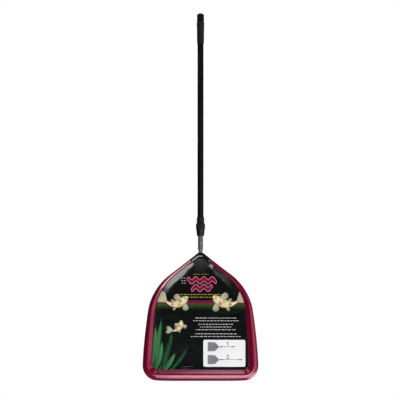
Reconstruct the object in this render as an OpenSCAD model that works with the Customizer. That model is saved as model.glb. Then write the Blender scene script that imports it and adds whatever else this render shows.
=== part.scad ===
// Leaf skimmer net on a two-stage telescopic twist-lock pole.
// It hangs head down from the hole in its end cap: +Z is up the pole, -Y is the
// mouth side of the net, and the origin is the middle of the hang hole.

/* [Pole] */
// Outside diameter of the outer tube
outer_od = 19; // [18.9:0.05:19.1]
// Inside diameter of the outer tube
outer_id = 16.6; // [16.55:0.05:16.65]
// Length of outer tube that shows between grip and lock
outer_show = 546.5; // [520:0.5:600]
// Outside diameter of the inner tube
inner_od = 16; // [15.98:0.01:16.02]
// Inside diameter of the inner tube
inner_id = 13.6; // [13.5:0.05:13.6]
// How far the inner tube slides out
travel = 465; // [300:5:465]
// Length of inner tube that shows below the lock, collapsed
neck_show = 42.5; // [36:0.5:60]

/* [End cap and grip] */
// Diameter of the end cap
cap_d = 22.4; // [21:0.2:24]
// Height of the end cap above the hang hole's axis
cap_rise = 15.4; // [13:0.2:18]
// Radius of the hang hole
hang_r = 3; // [2.5:0.1:4]
// Length of the hand grip
grip_len = 67.8; // [60:0.2:80]
// Diameter of the grip at its top
grip_d_top = 23.8; // [22.6:0.2:26]
// Diameter of the grip at its bottom
grip_d_bot = 22; // [21.4:0.2:22.4]
// Number of grooves round the grip
grip_grooves = 9; // [4:1:11]

/* [Twist lock] */
// Diameter of the lock collar on the outer tube
collar_d = 23.5; // [23.2:0.1:25]
// Height of the lock collar
collar_h = 20.4; // [18:0.2:24]
// Diameter of the nut's ribbed band
nut_d = 28.7; // [28:0.1:32]
// Height of the nut's ribbed band
nut_band_h = 18.9; // [18:0.1:20]
// Number of flutes round the nut
nut_flutes = 18; // [12:1:20]
// Diameter of the nut's lower end
nut_end_d = 22.8; // [22.4:0.1:24]
// Clearance between turning or sliding parts
run_gap = 0.05; // [0.03:0.01:0.08]

/* [Hoop] */
// Diameter of the frame rod
rod_d = 5; // [4.6:0.1:5]
// Distance of each rod leg from the pole's axis
leg_x = 4; // [4:0.05:4.1]
// Angle of the upper legs away from the pole
v_angle = 51.8; // [48:0.2:54]
// Length of the straight upper legs
v_len = 103; // [96:1:110]
// Radius of the shoulders
shoulder_r = 175; // [160:1:190]
// Angle of the sides where the shoulders end
side_angle = 7; // [5:0.5:9]
// Length of the sides
side_len = 168; // [150:1:190]
// Radius of the lower corners at the guard's ridge
corner_r = 28; // [26:0.5:34]

/* [Guard] */
// Width of the guard outside its ridge, at the leading edge
lip_out = 22; // [19:0.5:23]
// Width of the guard inside its ridge, at the leading edge
lip_in = 15; // [13.5:0.5:16]
// Height of the guard's ridge at the leading edge
lip_h = 11; // [9:0.5:12]
// Wall of the guard
guard_wall = 1.8; // [1.5:0.1:1.9]

/* [Net and card] */
// Depth of the mesh pouch behind the hoop
net_depth = 42; // [30:1:60]
// Thickness of the display card
card_t = 0.8; // [0.6:0.1:1.2]
// How far the card's edge laps over the guard's inner edge
card_lap = 0.7; // [0.3:0.1:0.8]

/* [Hidden] */
$fn = 96;

black = "#17181a";
maroon = "#7d0f35";

outer_r = outer_od / 2;
bore_r = outer_id / 2;
inner_r = inner_od / 2;
inner_br = inner_id / 2;
cap_r = cap_d / 2;
rod_r = rod_d / 2;

// Heights down the pole, from the hang hole.
z_cap_bot = -11;
z_tube_top = -11;
z_grip_top = -12.4;
z_grip_bot = z_grip_top - grip_len;
z_collar_top = z_grip_bot - outer_show;
z_nut_top = z_collar_top - collar_h;
z_outer_end = z_nut_top + 4.2;
z_base_end = z_nut_top - 20.6;
z_band_bot = z_nut_top - nut_band_h;
z_nut_bot = z_nut_top - 39.4;
z_neck_end = z_nut_bot - neck_show;
z_inner_top = z_nut_bot + travel + 126.6;
z_rivet = z_neck_end + 21.7;
z_bend = z_neck_end - 9.8;
z_yoke_top = z_neck_end - 10.2;

// ---- The hoop's line: a point is [x, z, angle off the pole, distance] ----
// n_out points away from the net, across the line.
function n_out(a) = [cos(a), sin(a)];
function ahead(a) = [sin(a), -cos(a)];
function line_on(p, len, ds) =
    [for (i = [1 : max(1, round(len / ds))])
        let (t = len * i / max(1, round(len / ds)), d = ahead(p[2]))
        [p[0] + d[0] * t, p[1] + d[1] * t, p[2], p[3] + t]];
function bend_on(p, r, turn, da) =
    let (n = max(1, round(abs(turn) / da)), sg = turn > 0 ? 1 : -1,
         c = [p[0], p[1]] + sg * r * n_out(p[2]))
    [for (i = [1 : n])
        let (a = turn * i / n, q = c - sg * r * n_out(p[2] + a))
        [q[0], q[1], p[2] + a, p[3] + abs(a) * PI / 180 * r]];
function last(v) = v[len(v) - 1];

bend_r = 8;
v_start = [leg_x + bend_r * (1 - cos(v_angle)), z_bend - bend_r * sin(v_angle),
    v_angle, 0];
v_run = concat([v_start], line_on(v_start, v_len, 10));
shoulder_run = bend_on(last(v_run), shoulder_r, side_angle - v_angle, 2.6);
side_r = side_len / (side_angle - 1.5) * 180 / PI;
side_run = bend_on(last(shoulder_run), side_r, 1.5 - side_angle, 0.4);
corner_run = bend_on(last(side_run), corner_r, -91.5, 7.7);
foot_run = line_on(last(corner_run), last(corner_run)[0], 12);
half_line = concat(v_run, shoulder_run, side_run, corner_run, foot_run);
s_corner = last(side_run)[3];
s_foot = last(corner_run)[3];
s_end = last(foot_run)[3];

// ---- The guard's section along the line ----
function ease(s, table) =
    (lookup(s - 14, table) + 2 * lookup(s, table) + lookup(s + 14, table)) / 4;
out_table = [[30, 4.7], [95, 5.1], [171, 9], [218, 11.6], [300, 13.8],
    [s_corner - 30, 16], [s_corner + 8, 16.4], [s_foot, lip_out - 1],
    [s_foot + 40, lip_out], [s_foot + 200, lip_out]];
in_table = [[30, 5.6], [95, 6.6], [171, 9.5], [218, 11.4], [300, 13.2],
    [s_corner - 16, 13.9], [s_corner + 22, 18.5], [s_foot + 16, lip_in],
    [s_foot + 200, lip_in]];
h_table = [[30, 4.9], [95, 5.4], [171, 7.2], [218, 8.4], [300, 9.6],
    [s_corner - 20, 10], [s_foot, lip_h], [s_foot + 200, lip_h]];
t_table = [[30, 5.6], [95, 5.7], [218, 6.2], [s_corner, 7], [s_foot, 7.6],
    [s_foot + 200, 7.6]];
function g_out(s) = ease(s, out_table);
function g_in(s) = ease(s, in_table);
function g_h(s) = ease(s, h_table);
function g_t(s) = ease(s, t_table);

function bez(p0, p1, p2, p3, t) =
    pow(1 - t, 3) * p0 + 3 * pow(1 - t, 2) * t * p1
    + 3 * (1 - t) * t * t * p2 + t * t * t * p3;

// Section of the guard at distance s, shrunk by e: the outside skin from the
// inner tip over the ridge, round the nose and to the heel behind the rod.
function skin(s, e) =
    let (b = g_out(s) - e, f = g_in(s), h = g_h(s) - 1.15 * e, t = g_t(s) - e)
    concat(
        [[-f, 0.9 - e], [-f * 0.5, (0.9 - e) + (h - 0.9 + e) * 0.5]],
        [for (i = [0 : 5]) bez([0, h], [0.5 * b, h], [b, 0.62 * h], [b, 0], i / 5)],
        [for (i = [1 : 4]) bez([b, 0], [b, -0.75 * t], [0.82 * b, -t], [0.4 * b, -t], i / 4)],
        [[-1.2, -t]]);
function guard_section(s) =
    let (a = skin(s, 0), b = skin(s, guard_wall), n = len(b))
    concat(a, [for (i = [n - 1 : -1 : 0]) b[i]]);

// A ring of section points [u outward, v towards the mouth] on the line.
function ring_at(p, side, pts) =
    let (n = n_out(p[2]))
    [for (q = pts) [side * (p[0] + n[0] * q[0]), -q[1], p[1] + n[1] * q[0]]];

// Solid through a list of equal rings, closed by its two end faces.
module loft(rings) {
    n = len(rings[0]);
    m = len(rings);
    polyhedron(
        points = [for (r = rings) each r],
        faces = concat(
            [[for (i = [n - 1 : -1 : 0]) i]],
            [[for (i = [0 : n - 1]) (m - 1) * n + i]],
            [for (j = [0 : m - 2], i = [0 : n - 1])
                [j * n + i, j * n + (i + 1) % n, (j + 1) * n + (i + 1) % n]],
            [for (j = [0 : m - 2], i = [0 : n - 1])
                [j * n + i, (j + 1) * n + (i + 1) % n, (j + 1) * n + i]]),
        convexity = 8);
}

function clip_line(s0) =
    let (p = v_start, d = ahead(p[2]))
    concat([[p[0] + d[0] * s0, p[1] + d[1] * s0, p[2], s0]],
        [for (q = half_line) if (q[3] > s0 + 2) q]);

// Both halves of the hoop's line from s0, as rings: right side down, left up.
function both_sides(line, section) =
    concat(
        [for (p = line) ring_at(p, 1, section(p[3]))],
        [for (i = [len(line) - 2 : -1 : 0])
            ring_at(line[i], -1, section(line[i][3]))]);

guard_line = clip_line(31);

// ---- Rings turned about the pole ----
module turned(pts) rotate_extrude() polygon(pts);

module tube_of(r_out, r_in, z_low, z_high) {
    turned([[r_in, z_low], [r_out, z_low], [r_out, z_high], [r_in, z_high]]);
}

// ---- Handle ----
module end_cap() color(black) difference() {
    union() {
        turned(concat(
            [[0, z_cap_bot], [cap_r - 0.8, z_cap_bot], [cap_r, z_cap_bot + 0.8]],
            [for (a = [0 : 7.5 : 82.5])
                [cap_r * cos(a), cap_rise - 8.4 + 8.4 * sin(a)]],
            [[0, cap_rise]]));
        // Spigot in the tube's bore, with two barbs
        translate([0, 0, z_cap_bot - 24])
            cylinder(r = bore_r - 0.35, h = 24.5);
        for (z = [z_cap_bot - 20, z_cap_bot - 10])
            translate([0, 0, z]) cylinder(r = bore_r - 0.05, h = 2.5);
    }
    rotate([0, 90, 0]) cylinder(r = hang_r, h = cap_d + 4, center = true);
    // Seam line round the foot of the dome
    translate([0, 0, cap_rise - 9.8]) difference() {
        cylinder(r = cap_r + 1, h = 0.7);
        translate([0, 0, -1]) cylinder(r = cap_r - 0.35, h = 3);
    }
    // Core of the spigot
    translate([0, 0, z_cap_bot - 30]) cylinder(r = bore_r - 2.2, h = 32);
}

module grip() color(black) difference() {
    turned(concat(
        [[outer_r - 0.03, z_grip_bot], [grip_d_bot / 2 - 0.7, z_grip_bot],
            [grip_d_bot / 2, z_grip_bot + 0.7], [grip_d_bot / 2, z_grip_bot + 6.3],
            [grip_d_bot / 2 - 0.6, z_grip_bot + 7], [grip_d_bot / 2 - 0.6, z_grip_bot + 8.4],
            [grip_d_bot / 2, z_grip_bot + 9]],
        [[grip_d_top / 2, z_grip_top - 1], [grip_d_top / 2 - 1, z_grip_top],
            [outer_r - 0.03, z_grip_top]]));
    // Grooves for the fingers
    for (i = [0 : grip_grooves - 1])
        let (z = z_grip_top - 7 - i * (grip_len - 22) / (grip_grooves - 1),
             t = (z_grip_top - z) / grip_len,
             r = grip_d_top / 2 + (grip_d_bot - grip_d_top) / 2 * t)
        translate([0, 0, z]) rotate_extrude()
            translate([r + 0.25, 0]) circle(r = 0.75, $fn = 32);
}

// The powder coat stops where the grip and the lock collar begin.
module outer_tube() color(black) difference() {
    union() {
        translate([0, 0, z_outer_end])
            cylinder(r = outer_r - 0.05, h = z_tube_top - z_outer_end);
        translate([0, 0, z_collar_top])
            cylinder(r = outer_r, h = outer_show);
    }
    translate([0, 0, z_outer_end - 1])
        cylinder(r = bore_r, h = z_tube_top - z_outer_end + 2);
}

module lock_base() color(black) difference() {
    union() {
        turned([[0, z_nut_top + 0.4], [collar_d / 2, z_nut_top + 0.4],
            [collar_d / 2, z_collar_top - 1.6], [collar_d / 2 - 0.9, z_collar_top - 0.5],
            [collar_d / 2 - 1.6, z_collar_top], [0, z_collar_top]]);
        // Thread, at its mean diameter
        translate([0, 0, z_base_end]) cylinder(r = 11.2, h = z_nut_top - z_base_end + 1);
    }
    translate([0, 0, z_outer_end]) cylinder(r = outer_r - 0.03, h = 60);
    translate([0, 0, z_base_end - 1]) cylinder(r = inner_r + 0.15, h = 60);
    // Two moulding grooves round the collar
    for (z = [z_collar_top - 7, z_collar_top - 14])
        translate([0, 0, z]) difference() {
            cylinder(r = collar_d / 2 + 1, h = 0.8);
            translate([0, 0, -1]) cylinder(r = collar_d / 2 - 0.4, h = 3);
        }
}

module collet() color("#d9d6cc") difference() {
    turned([[inner_r + run_gap, z_base_end - 11.8], [8.9, z_base_end - 11.8],
        [10.1, z_base_end - 2], [10.9, z_base_end - 2],
        [10.9, z_base_end - 0.1], [inner_r + run_gap, z_base_end - 0.1]]);
    for (a = [0 : 60 : 150]) rotate([0, 0, a])
        translate([-15, -0.6, z_base_end - 13]) cube([30, 1.2, 9]);
}

module lock_ring() color("#c9ccd0")
    turned([[9.1, z_base_end - 12.2], [10.4, z_base_end - 12.2],
        [10.4, z_base_end - 7.2], [9.65, z_base_end - 7.2]]);

module lock_nut() color(black) difference() {
    union() {
        turned([[0, z_nut_bot], [nut_end_d / 2 - 0.8, z_nut_bot],
            [nut_end_d / 2, z_nut_bot + 1], [13.3, z_band_bot + 1],
            [13.3, z_band_bot + 2], [0, z_band_bot + 2]]);
        turned([[0, z_band_bot], [nut_d / 2 - 1.2, z_band_bot],
            [nut_d / 2, z_band_bot + 1.2], [nut_d / 2, z_nut_top - 1.4],
            [nut_d / 2 - 1.4, z_nut_top], [0, z_nut_top]]);
    }
    // Thread, at its mean diameter, then the ring's chamber, then the mouth
    translate([0, 0, z_base_end - 3]) cylinder(r = 11.3, h = 60);
    translate([0, 0, z_base_end - 12.3]) cylinder(r = 10.45, h = 20);
    translate([0, 0, z_nut_bot - 1]) cylinder(r = inner_r + 0.35, h = 20);
    // Finger flutes
    for (i = [0 : nut_flutes - 1]) rotate([0, 0, (i + 0.5) * 360 / nut_flutes])
        translate([nut_d / 2 + 0.55, 0, z_band_bot - 1])
            cylinder(r = 1.2, h = nut_band_h + 2, $fn = 24);
}

// ---- Inner stage ----
module guide_bush() color("#d9d6cc") difference() {
    tube_of(bore_r - run_gap, 5 + run_gap, z_inner_top + 1.6, z_inner_top + 15.6);
    // Relief groove, so that only the two ends rub
    translate([0, 0, z_inner_top + 5.6]) difference() {
        cylinder(r = bore_r + 1, h = 6);
        translate([0, 0, -1]) cylinder(r = bore_r - 0.8, h = 8);
    }
}

// Barrel in the tube, shoulder on its end, spindle for the bush, snap head
module tube_top_plug() color(black) difference() {
    turned([[0, z_inner_top - 20], [inner_br - 0.6, z_inner_top - 20],
        [inner_br - 0.03, z_inner_top - 18], [inner_br - 0.03, z_inner_top],
        [inner_r - 0.1, z_inner_top], [inner_r - 0.1, z_inner_top + 1.5],
        [5, z_inner_top + 1.5], [5, z_inner_top + 15.8],
        [6.4, z_inner_top + 15.8], [5.4, z_inner_top + 18.2],
        [0, z_inner_top + 18.2]]);
    translate([0, 0, z_inner_top - 21]) cylinder(r = 3, h = 50);
    // Slit that lets the snap head close
    translate([-10, -0.7, z_inner_top + 7]) cube([20, 1.4, 20]);
}

module inner_tube() color("#5a5b60") difference() {
    tube_of(inner_r, inner_br, z_neck_end, z_inner_top);
    translate([0, 0, z_rivet]) rotate([90, 0, 0])
        cylinder(r = 1.5, h = 30, center = true);
}

// Barrel in the tube, rim over its end, and a nose round the rod's legs down to the yoke
module neck_plug() color("#77787c") difference() {
    turned([[0, z_yoke_top + 0.1], [6, z_yoke_top + 0.1], [6, z_neck_end - 4.4],
        [inner_r - 0.2, z_neck_end - 1.5], [inner_r - 0.2, z_neck_end - 0.05],
        [inner_br - 0.03, z_neck_end - 0.05], [inner_br - 0.03, z_neck_end + 42],
        [0, z_neck_end + 42]]);
    // Channels for the rod's legs, open to the tube's wall
    for (sx = [-1, 1]) {
        translate([sx * leg_x, 0, z_neck_end - 15]) cylinder(r = rod_r + 0.05, h = 70);
        translate([sx > 0 ? leg_x : -leg_x - 9, -rod_r - 0.03, z_neck_end + 0.02])
            cube([9, 2 * rod_r + 0.06, 60]);
    }
    translate([0, 0, z_rivet]) rotate([90, 0, 0])
        cylinder(r = 1.5, h = 30, center = true);
}

module neck_rivet() color("#b9babf") translate([0, 0, z_rivet]) rotate([90, 0, 0]) {
    cylinder(r = 1.45, h = 2 * inner_r + 1.2, center = true, $fn = 48);
    // Domed head in front, set head behind
    rotate_extrude($fn = 48) polygon([[0, inner_r + 0.1], [3.1, inner_r + 0.1],
        [2.9, inner_r + 0.7], [2.2, inner_r + 1.3], [1.2, inner_r + 1.6],
        [0, inner_r + 1.7]]);
    rotate_extrude($fn = 48) polygon([[0, -inner_r - 0.1], [2.5, -inner_r - 0.1],
        [2.2, -inner_r - 0.9], [0, -inner_r - 1.2]]);
}

// ---- Head ----
rod_leg = [[leg_x, z_neck_end + 40, 0, -80], [leg_x, z_neck_end + 20, 0, -60],
    [leg_x, z_bend, 0, -8]];
rod_line = concat(rod_leg, bend_on(last(rod_leg), bend_r, v_angle, 6.5),
    [for (p = half_line) if (p[3] > 4) p]);

module frame_rod() color("#5c5d62")
    loft(both_sides(rod_line, function (s)
        [for (i = [0 : 11]) rod_r / cos(15) * 0.98 * [cos(i * 30 + 15), sin(i * 30 + 15)]]));

// Outline of the V-shaped yoke in [x, z], taken in by e all round
function yoke_outline(e) =
    let (n = n_out(v_angle), d = ahead(v_angle),
         tip = [v_start[0], v_start[1]] + (30.5 - e) * d,
         half = [tip + (4.7 - e) * n, tip - (6.4 - e) * n,
             tip - (6.4 - e) * n - 15 * d, [6, z_yoke_top - 14 + e]])
    concat([[-7.4 + 0.5 * e, z_yoke_top - e], [7.4 - 0.5 * e, z_yoke_top - e]],
        half, [for (i = [3 : -1 : 0]) [-half[i][0], half[i][1]]]);

// Slab of the yoke from the rods' plane towards the mouth (-1) or the back (1)
module yoke_slab(side) {
    for (k = [[5.1, 1.3], [4.5, 0.5], [3.6, 0]])
        translate([0, side * 0.05, 0]) rotate([90, 0, 0])
            mirror([0, 0, side > 0 ? 1 : 0])
                linear_extrude(k[0]) polygon(yoke_outline(k[1]));
}

module rod_cut() {
    for (sx = [-1, 1]) {
        translate([sx * leg_x, 0, z_bend]) cylinder(r = rod_r + 0.1, h = 20);
        translate([sx * v_start[0], 0, v_start[1]])
            rotate([0, sx * (180 - v_angle), 0]) cylinder(r = rod_r + 0.1, h = 60);
        translate([sx * leg_x, 0, z_bend]) sphere(r = rod_r + 0.2);
        translate([sx * v_start[0], 0, v_start[1]]) sphere(r = rod_r + 0.2);
        // Round the bend
        for (k = [0.25, 0.5, 0.75])
            translate([sx * (leg_x + bend_r * (1 - cos(v_angle * k))), 0,
                z_bend - bend_r * sin(v_angle * k)])
                sphere(r = rod_r + 0.25);
    }
}

z_screw = z_yoke_top - 9.4;

module yoke_front() color(black) difference() {
    yoke_slab(-1);
    rod_cut();
    translate([0, 0, z_screw]) rotate([90, 0, 0])
        cylinder(r = 1.25, h = 7, center = true);
}

module yoke_rear() color(black) difference() {
    yoke_slab(1);
    rod_cut();
    translate([0, 10, z_screw]) rotate([90, 0, 0]) cylinder(r = 1.6, h = 20);
    translate([0, 10, z_screw]) rotate([90, 0, 0]) cylinder(r = 3.1, h = 7.4);
}

module yoke_screw() color("#a5a7ab") difference() {
    union() {
        translate([0, 4.4, z_screw]) rotate([90, 0, 0]) cylinder(r = 1.2, h = 7.4, $fn = 32);
        translate([0, 4.6, z_screw]) rotate([90, 0, 0]) cylinder(r1 = 2.5, r2 = 2.9, h = 1.7, $fn = 48);
    }
    for (a = [0, 90]) translate([0, 5, z_screw]) rotate([0, a, 0])
        cube([3.4, 2.2, 0.8], center = true);
}

module net_guard() color(maroon)
    loft(both_sides(guard_line, function (s) guard_section(s)));

// The throat is a gusset of the same tape between the two arms. It closes the hem at the
// apex, behind the yoke's web, and the mesh and the card hang on it.
function throat_at(s, u) = let (p = v_start_at(s)) p - u * n_out(v_angle);
function v_start_at(s) = [v_start[0], v_start[1]] + s * ahead(v_angle);
throat_half = [throat_at(15.7, 6.8), throat_at(31.8, 6.8), throat_at(34, 4.6), throat_at(40, 4.6),
    throat_at(46, 7.6), throat_at(31, 10.4), throat_at(19, 14.4)];
module net_hem() color("#1d1e20") {
    loft(both_sides(clip_line(31.4), function (s)
        [[0.6, -3.6], [-g_in(s) - 2.4, -3.6], [-g_in(s) - 2.4, -2.75], [0.6, -2.75]]));
    translate([0, 3.5, 0]) rotate([90, 0, 0]) linear_extrude(0.65) polygon(concat(
        [[5.8, z_yoke_top - 14.35]], throat_half, [[0, z_yoke_top - 28.5]],
        [for (i = [len(throat_half) - 1 : -1 : 0]) [-throat_half[i][0], throat_half[i][1]]],
        [[-5.8, z_yoke_top - 14.35]]));
}

// The mesh has a flat band along the hem's back, then sags into a shallow pouch.
function rim_in(s) = lookup(s, [[0, 7.4], [34, 7.4], [60, 5.4], [95, 5.2],
    [171, 8], [218, 10], [300, 11.8], [s_foot, lip_in - 1.4], [900, lip_in - 1.4]]);
rim_line = clip_line(6);
rim_right = [for (p = rim_line) let (q = [p[0], p[1]] - rim_in(p[3]) * n_out(p[2]))
    [max(0, q[0]), q[1]]];
net_mid = [0, last(rim_right)[1] + 118];
net_flat = 0.972;
function pouch(t) = t >= net_flat ? 0 : pow(1 - pow(t / net_flat, 2.3), 0.8);
function net_ring(t, y_add) =
    concat(
        [for (q = rim_right) [q[0] * t, 3.65 + net_depth * pouch(t) + y_add,
            net_mid[1] + (q[1] - net_mid[1]) * t]],
        [for (i = [len(rim_right) - 2 : -1 : 0]) [-rim_right[i][0] * t,
            3.65 + net_depth * pouch(t) + y_add,
            net_mid[1] + (rim_right[i][1] - net_mid[1]) * t]]);
net_steps = [0.12, 0.3, 0.46, 0.6, 0.72, 0.82, 0.9, 0.95, net_flat, 1];

module net_mesh() color("#26282a") {
    rings = concat(
        [for (t = net_steps) net_ring(t, 1.2)],
        [for (i = [len(net_steps) - 1 : -1 : 0]) net_ring(net_steps[i], 0)]);
    loft(rings);
}

module hem_stitches() color("#3b3d40")
    for (sx = [-1, 1], p = rim_line)
        if (p[3] > 40)
            let (q = [p[0], p[1]] - (rim_in(p[3]) + 2.4) * n_out(p[2]))
            translate([sx * q[0], 5.1, q[1]])
                rotate([0, sx * (90 - p[2]), 0]) cube([4, 0.5, 0.6], center = true);

// ---- Display card ----
y_card = -1.8 - card_t;
function card_in(s) = s < 36 ? 7.9 : max(g_in(s) - card_lap, 7.9 - (s - 36) * 0.2);
card_right = [for (p = clip_line(12)) [p[0], p[1]] - card_in(p[3]) * n_out(p[2])];
card_outline = concat([[0, card_right[0][1] + 1.2]],
    [for (q = card_right) [max(0, q[0]), q[1]]],
    [for (i = [len(card_right) - 2 : -1 : 0]) [-card_right[i][0], card_right[i][1]]]);
z_hinge = card_right[0][1] - 3;

module display_card() color("#0c0d0e") difference() {
    translate([0, y_card + card_t, 0]) rotate([90, 0, 0])
        linear_extrude(card_t) polygon(card_outline);
    for (x = [-3, 3]) translate([x, 0, z_hinge]) rotate([90, 0, 0])
        cylinder(r = 0.9, h = 20, center = true, $fn = 24);
}

// Tag pins: a bar before the card, a filament through it, a bar behind
module card_ties() color("#e8e8e4") for (x = [-3, 3]) translate([x, 0, z_hinge]) {
    translate([0, 1.8, 0]) rotate([90, 0, 0]) cylinder(r = 0.4, h = 2.35 - y_card, $fn = 24);
    translate([0, y_card - 0.55, 0]) cylinder(r = 0.5, h = 4, center = true, $fn = 24);
    translate([0, 1.7, 0]) cylinder(r = 0.5, h = 3.4, center = true, $fn = 24);
}

end_cap();
grip();
outer_tube();
lock_base();
collet();
lock_ring();
lock_nut();
guide_bush();
tube_top_plug();
inner_tube();
neck_plug();
neck_rivet();
frame_rod();
yoke_front();
yoke_rear();
yoke_screw();
net_guard();
net_hem();
net_mesh();
hem_stitches();
display_card();
card_ties();
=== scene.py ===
import math
import random

import bpy
import numpy as np
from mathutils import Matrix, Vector, geometry


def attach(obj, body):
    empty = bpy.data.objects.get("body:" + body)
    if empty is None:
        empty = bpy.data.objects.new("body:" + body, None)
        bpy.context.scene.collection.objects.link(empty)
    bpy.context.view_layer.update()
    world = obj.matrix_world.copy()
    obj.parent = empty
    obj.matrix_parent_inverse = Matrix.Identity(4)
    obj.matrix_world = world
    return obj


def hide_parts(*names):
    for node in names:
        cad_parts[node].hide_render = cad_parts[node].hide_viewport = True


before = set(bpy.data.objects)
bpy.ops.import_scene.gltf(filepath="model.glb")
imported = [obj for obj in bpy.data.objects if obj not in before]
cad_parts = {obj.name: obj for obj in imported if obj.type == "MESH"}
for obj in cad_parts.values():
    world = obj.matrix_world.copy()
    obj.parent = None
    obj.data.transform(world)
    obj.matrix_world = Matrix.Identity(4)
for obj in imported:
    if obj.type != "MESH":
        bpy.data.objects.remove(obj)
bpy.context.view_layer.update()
MM = 0.001
rng = random.Random(7)
scene = bpy.context.scene


# --------------------------------------------------------------- small helpers
def lin(c):
    """An sRGB value from 0 to 255 as linear light."""
    c = c / 255.0
    return c / 12.92 if c <= 0.04045 else ((c + 0.055) / 1.055) ** 2.4


def rgb(r, g, b):
    return (lin(r), lin(g), lin(b), 1.0)


def piece(name, verts, faces, mat, body, sharp=None, smooth=True):
    """A mesh from points in millimetres, riding on a body."""
    me = bpy.data.meshes.new(name)
    v = np.asarray(verts, dtype=float) * MM
    me.from_pydata(v.tolist(), [], [tuple(int(i) for i in f) for f in faces])
    me.validate()
    me.update()
    if smooth:
        me.polygons.foreach_set("use_smooth", [True] * len(me.polygons))
    if sharp is not None:
        me.set_sharp_from_angle(angle=math.radians(sharp))
    ob = bpy.data.objects.new(name, me)
    scene.collection.objects.link(ob)
    for m in mat if isinstance(mat, (list, tuple)) else [mat]:
        me.materials.append(m)
    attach(ob, body)
    return ob


def loft(rings, close_ends=True, ring_closed=True, loop=False):
    """Quads through equal rings of points."""
    n, m = len(rings[0]), len(rings)
    verts = [p for r in rings for p in r]
    faces = []
    for j in range(m if loop else m - 1):
        a, b = j * n, ((j + 1) % m) * n
        for i in range(n if ring_closed else n - 1):
            k = (i + 1) % n
            faces.append((a + i, a + k, b + k, b + i))
    if close_ends and not loop:
        faces.append(tuple(range(n - 1, -1, -1)))
        faces.append(tuple((m - 1) * n + i for i in range(n)))
    return verts, faces


# ------------------------------------------------------------------- materials
class Mat:
    """A node material, built up a node at a time."""

    def __init__(self, name):
        self.m = bpy.data.materials.new(name)
        self.m.use_nodes = True
        self.t = self.m.node_tree
        self.p = self.t.nodes["Principled BSDF"]
        self.c = None

    def node(self, kind, **values):
        n = self.t.nodes.new(kind)
        for k, v in values.items():
            if k in n.inputs.keys():
                n.inputs[k].default_value = v
            else:
                setattr(n, k, v)
        return n

    def link(self, a, b):
        self.t.links.new(a, b)

    def coords(self):
        if self.c is None:
            self.c = self.node("ShaderNodeTexCoord").outputs["Object"]
        return self.c

    def noise(self, scale, detail=3.0, rough=0.55, stretch=None):
        n = self.node("ShaderNodeTexNoise", Scale=scale, Detail=detail, Roughness=rough)
        if stretch:
            m = self.node("ShaderNodeMapping")
            m.inputs["Scale"].default_value = stretch
            self.link(self.coords(), m.inputs["Vector"])
            self.link(m.outputs["Vector"], n.inputs["Vector"])
        else:
            self.link(self.coords(), n.inputs["Vector"])
        return n.outputs["Fac"]

    def ramp(self, fac, stops, interp="LINEAR"):
        r = self.node("ShaderNodeValToRGB")
        e = r.color_ramp.elements
        r.color_ramp.interpolation = interp
        while len(e) < len(stops):
            e.new(0.5)
        for k, (pos, col) in zip(e, stops):
            k.position, k.color = pos, col
        self.link(fac, r.inputs["Fac"])
        return r.outputs["Color"]

    def span(self, fac, lo, hi, a=0.0, b=1.0):
        r = self.node("ShaderNodeMapRange")
        r.inputs["From Min"].default_value = a
        r.inputs["From Max"].default_value = b
        r.inputs["To Min"].default_value = lo
        r.inputs["To Max"].default_value = hi
        self.link(fac, r.inputs["Value"])
        return r.outputs["Result"]

    def mix(self, fac, a, b, mode="MIX"):
        n = self.node("ShaderNodeMix", data_type="RGBA", blend_type=mode)
        for sock, v in ((0, fac), (6, a), (7, b)):
            if isinstance(v, bpy.types.NodeSocket):
                self.link(v, n.inputs[sock])
            else:
                n.inputs[sock].default_value = v
        return n.outputs[2]

    def math(self, op, a, b=0.0):
        n = self.node("ShaderNodeMath", operation=op)
        for i, v in enumerate((a, b)):
            if isinstance(v, bpy.types.NodeSocket):
                self.link(v, n.inputs[i])
            else:
                n.inputs[i].default_value = v
        return n.outputs[0]

    def bump(self, height, strength, distance, under=None):
        b = self.node("ShaderNodeBump")
        b.inputs["Strength"].default_value = strength
        b.inputs["Distance"].default_value = distance
        self.link(height, b.inputs["Height"])
        if under is not None:
            self.link(under, b.inputs["Normal"])
        return b.outputs["Normal"]

    def put(self, **sockets):
        for k, v in sockets.items():
            s = self.p.inputs[k.replace("_", " ")]
            if isinstance(v, bpy.types.NodeSocket):
                self.link(v, s)
            else:
                s.default_value = v
        return self


def plastic(name, dark, light, rough=(0.3, 0.42), grain=900.0, bump=0.12, depth=0.00006,
            coat=0.0, coat_rough=0.1, level=0.5, cloud=22.0, metal=0.0):
    """Moulded plastic, paint or rubber: clouded colour, spark-eroded grain, uneven gloss."""
    m = Mat(name)
    broad = m.noise(cloud, 4.0)
    fine = m.noise(grain, 3.0, 0.6)
    both = m.math("ADD", m.math("MULTIPLY", broad, 0.65), m.math("MULTIPLY", fine, 0.35))
    m.put(Base_Color=m.ramp(both, [(0.34, dark), (0.66, light)]),
          Roughness=m.span(m.noise(cloud * 3.1, 5.0), rough[0], rough[1], 0.3, 0.7),
          Metallic=metal, Specular_IOR_Level=level,
          Coat_Weight=coat, Coat_Roughness=coat_rough,
          Normal=m.bump(fine, bump, depth))
    return m.m


def metal(name, dark, light, rough=(0.25, 0.4), brushed=(1.0, 1.0, 1.0), scale=260.0, depth=0.00003,
          metallic=1.0):
    m = Mat(name)
    lines = m.noise(scale, 4.0, 0.6, brushed)
    cloud = m.noise(35.0, 3.0)
    m.put(Base_Color=m.mix(m.span(cloud, 0.0, 1.0, 0.35, 0.65),
                           m.ramp(lines, [(0.3, dark), (0.7, light)]), light),
          Metallic=metallic,
          Roughness=m.span(lines, rough[0], rough[1], 0.3, 0.7),
          Normal=m.bump(lines, 0.25, depth))
    return m.m


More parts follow.
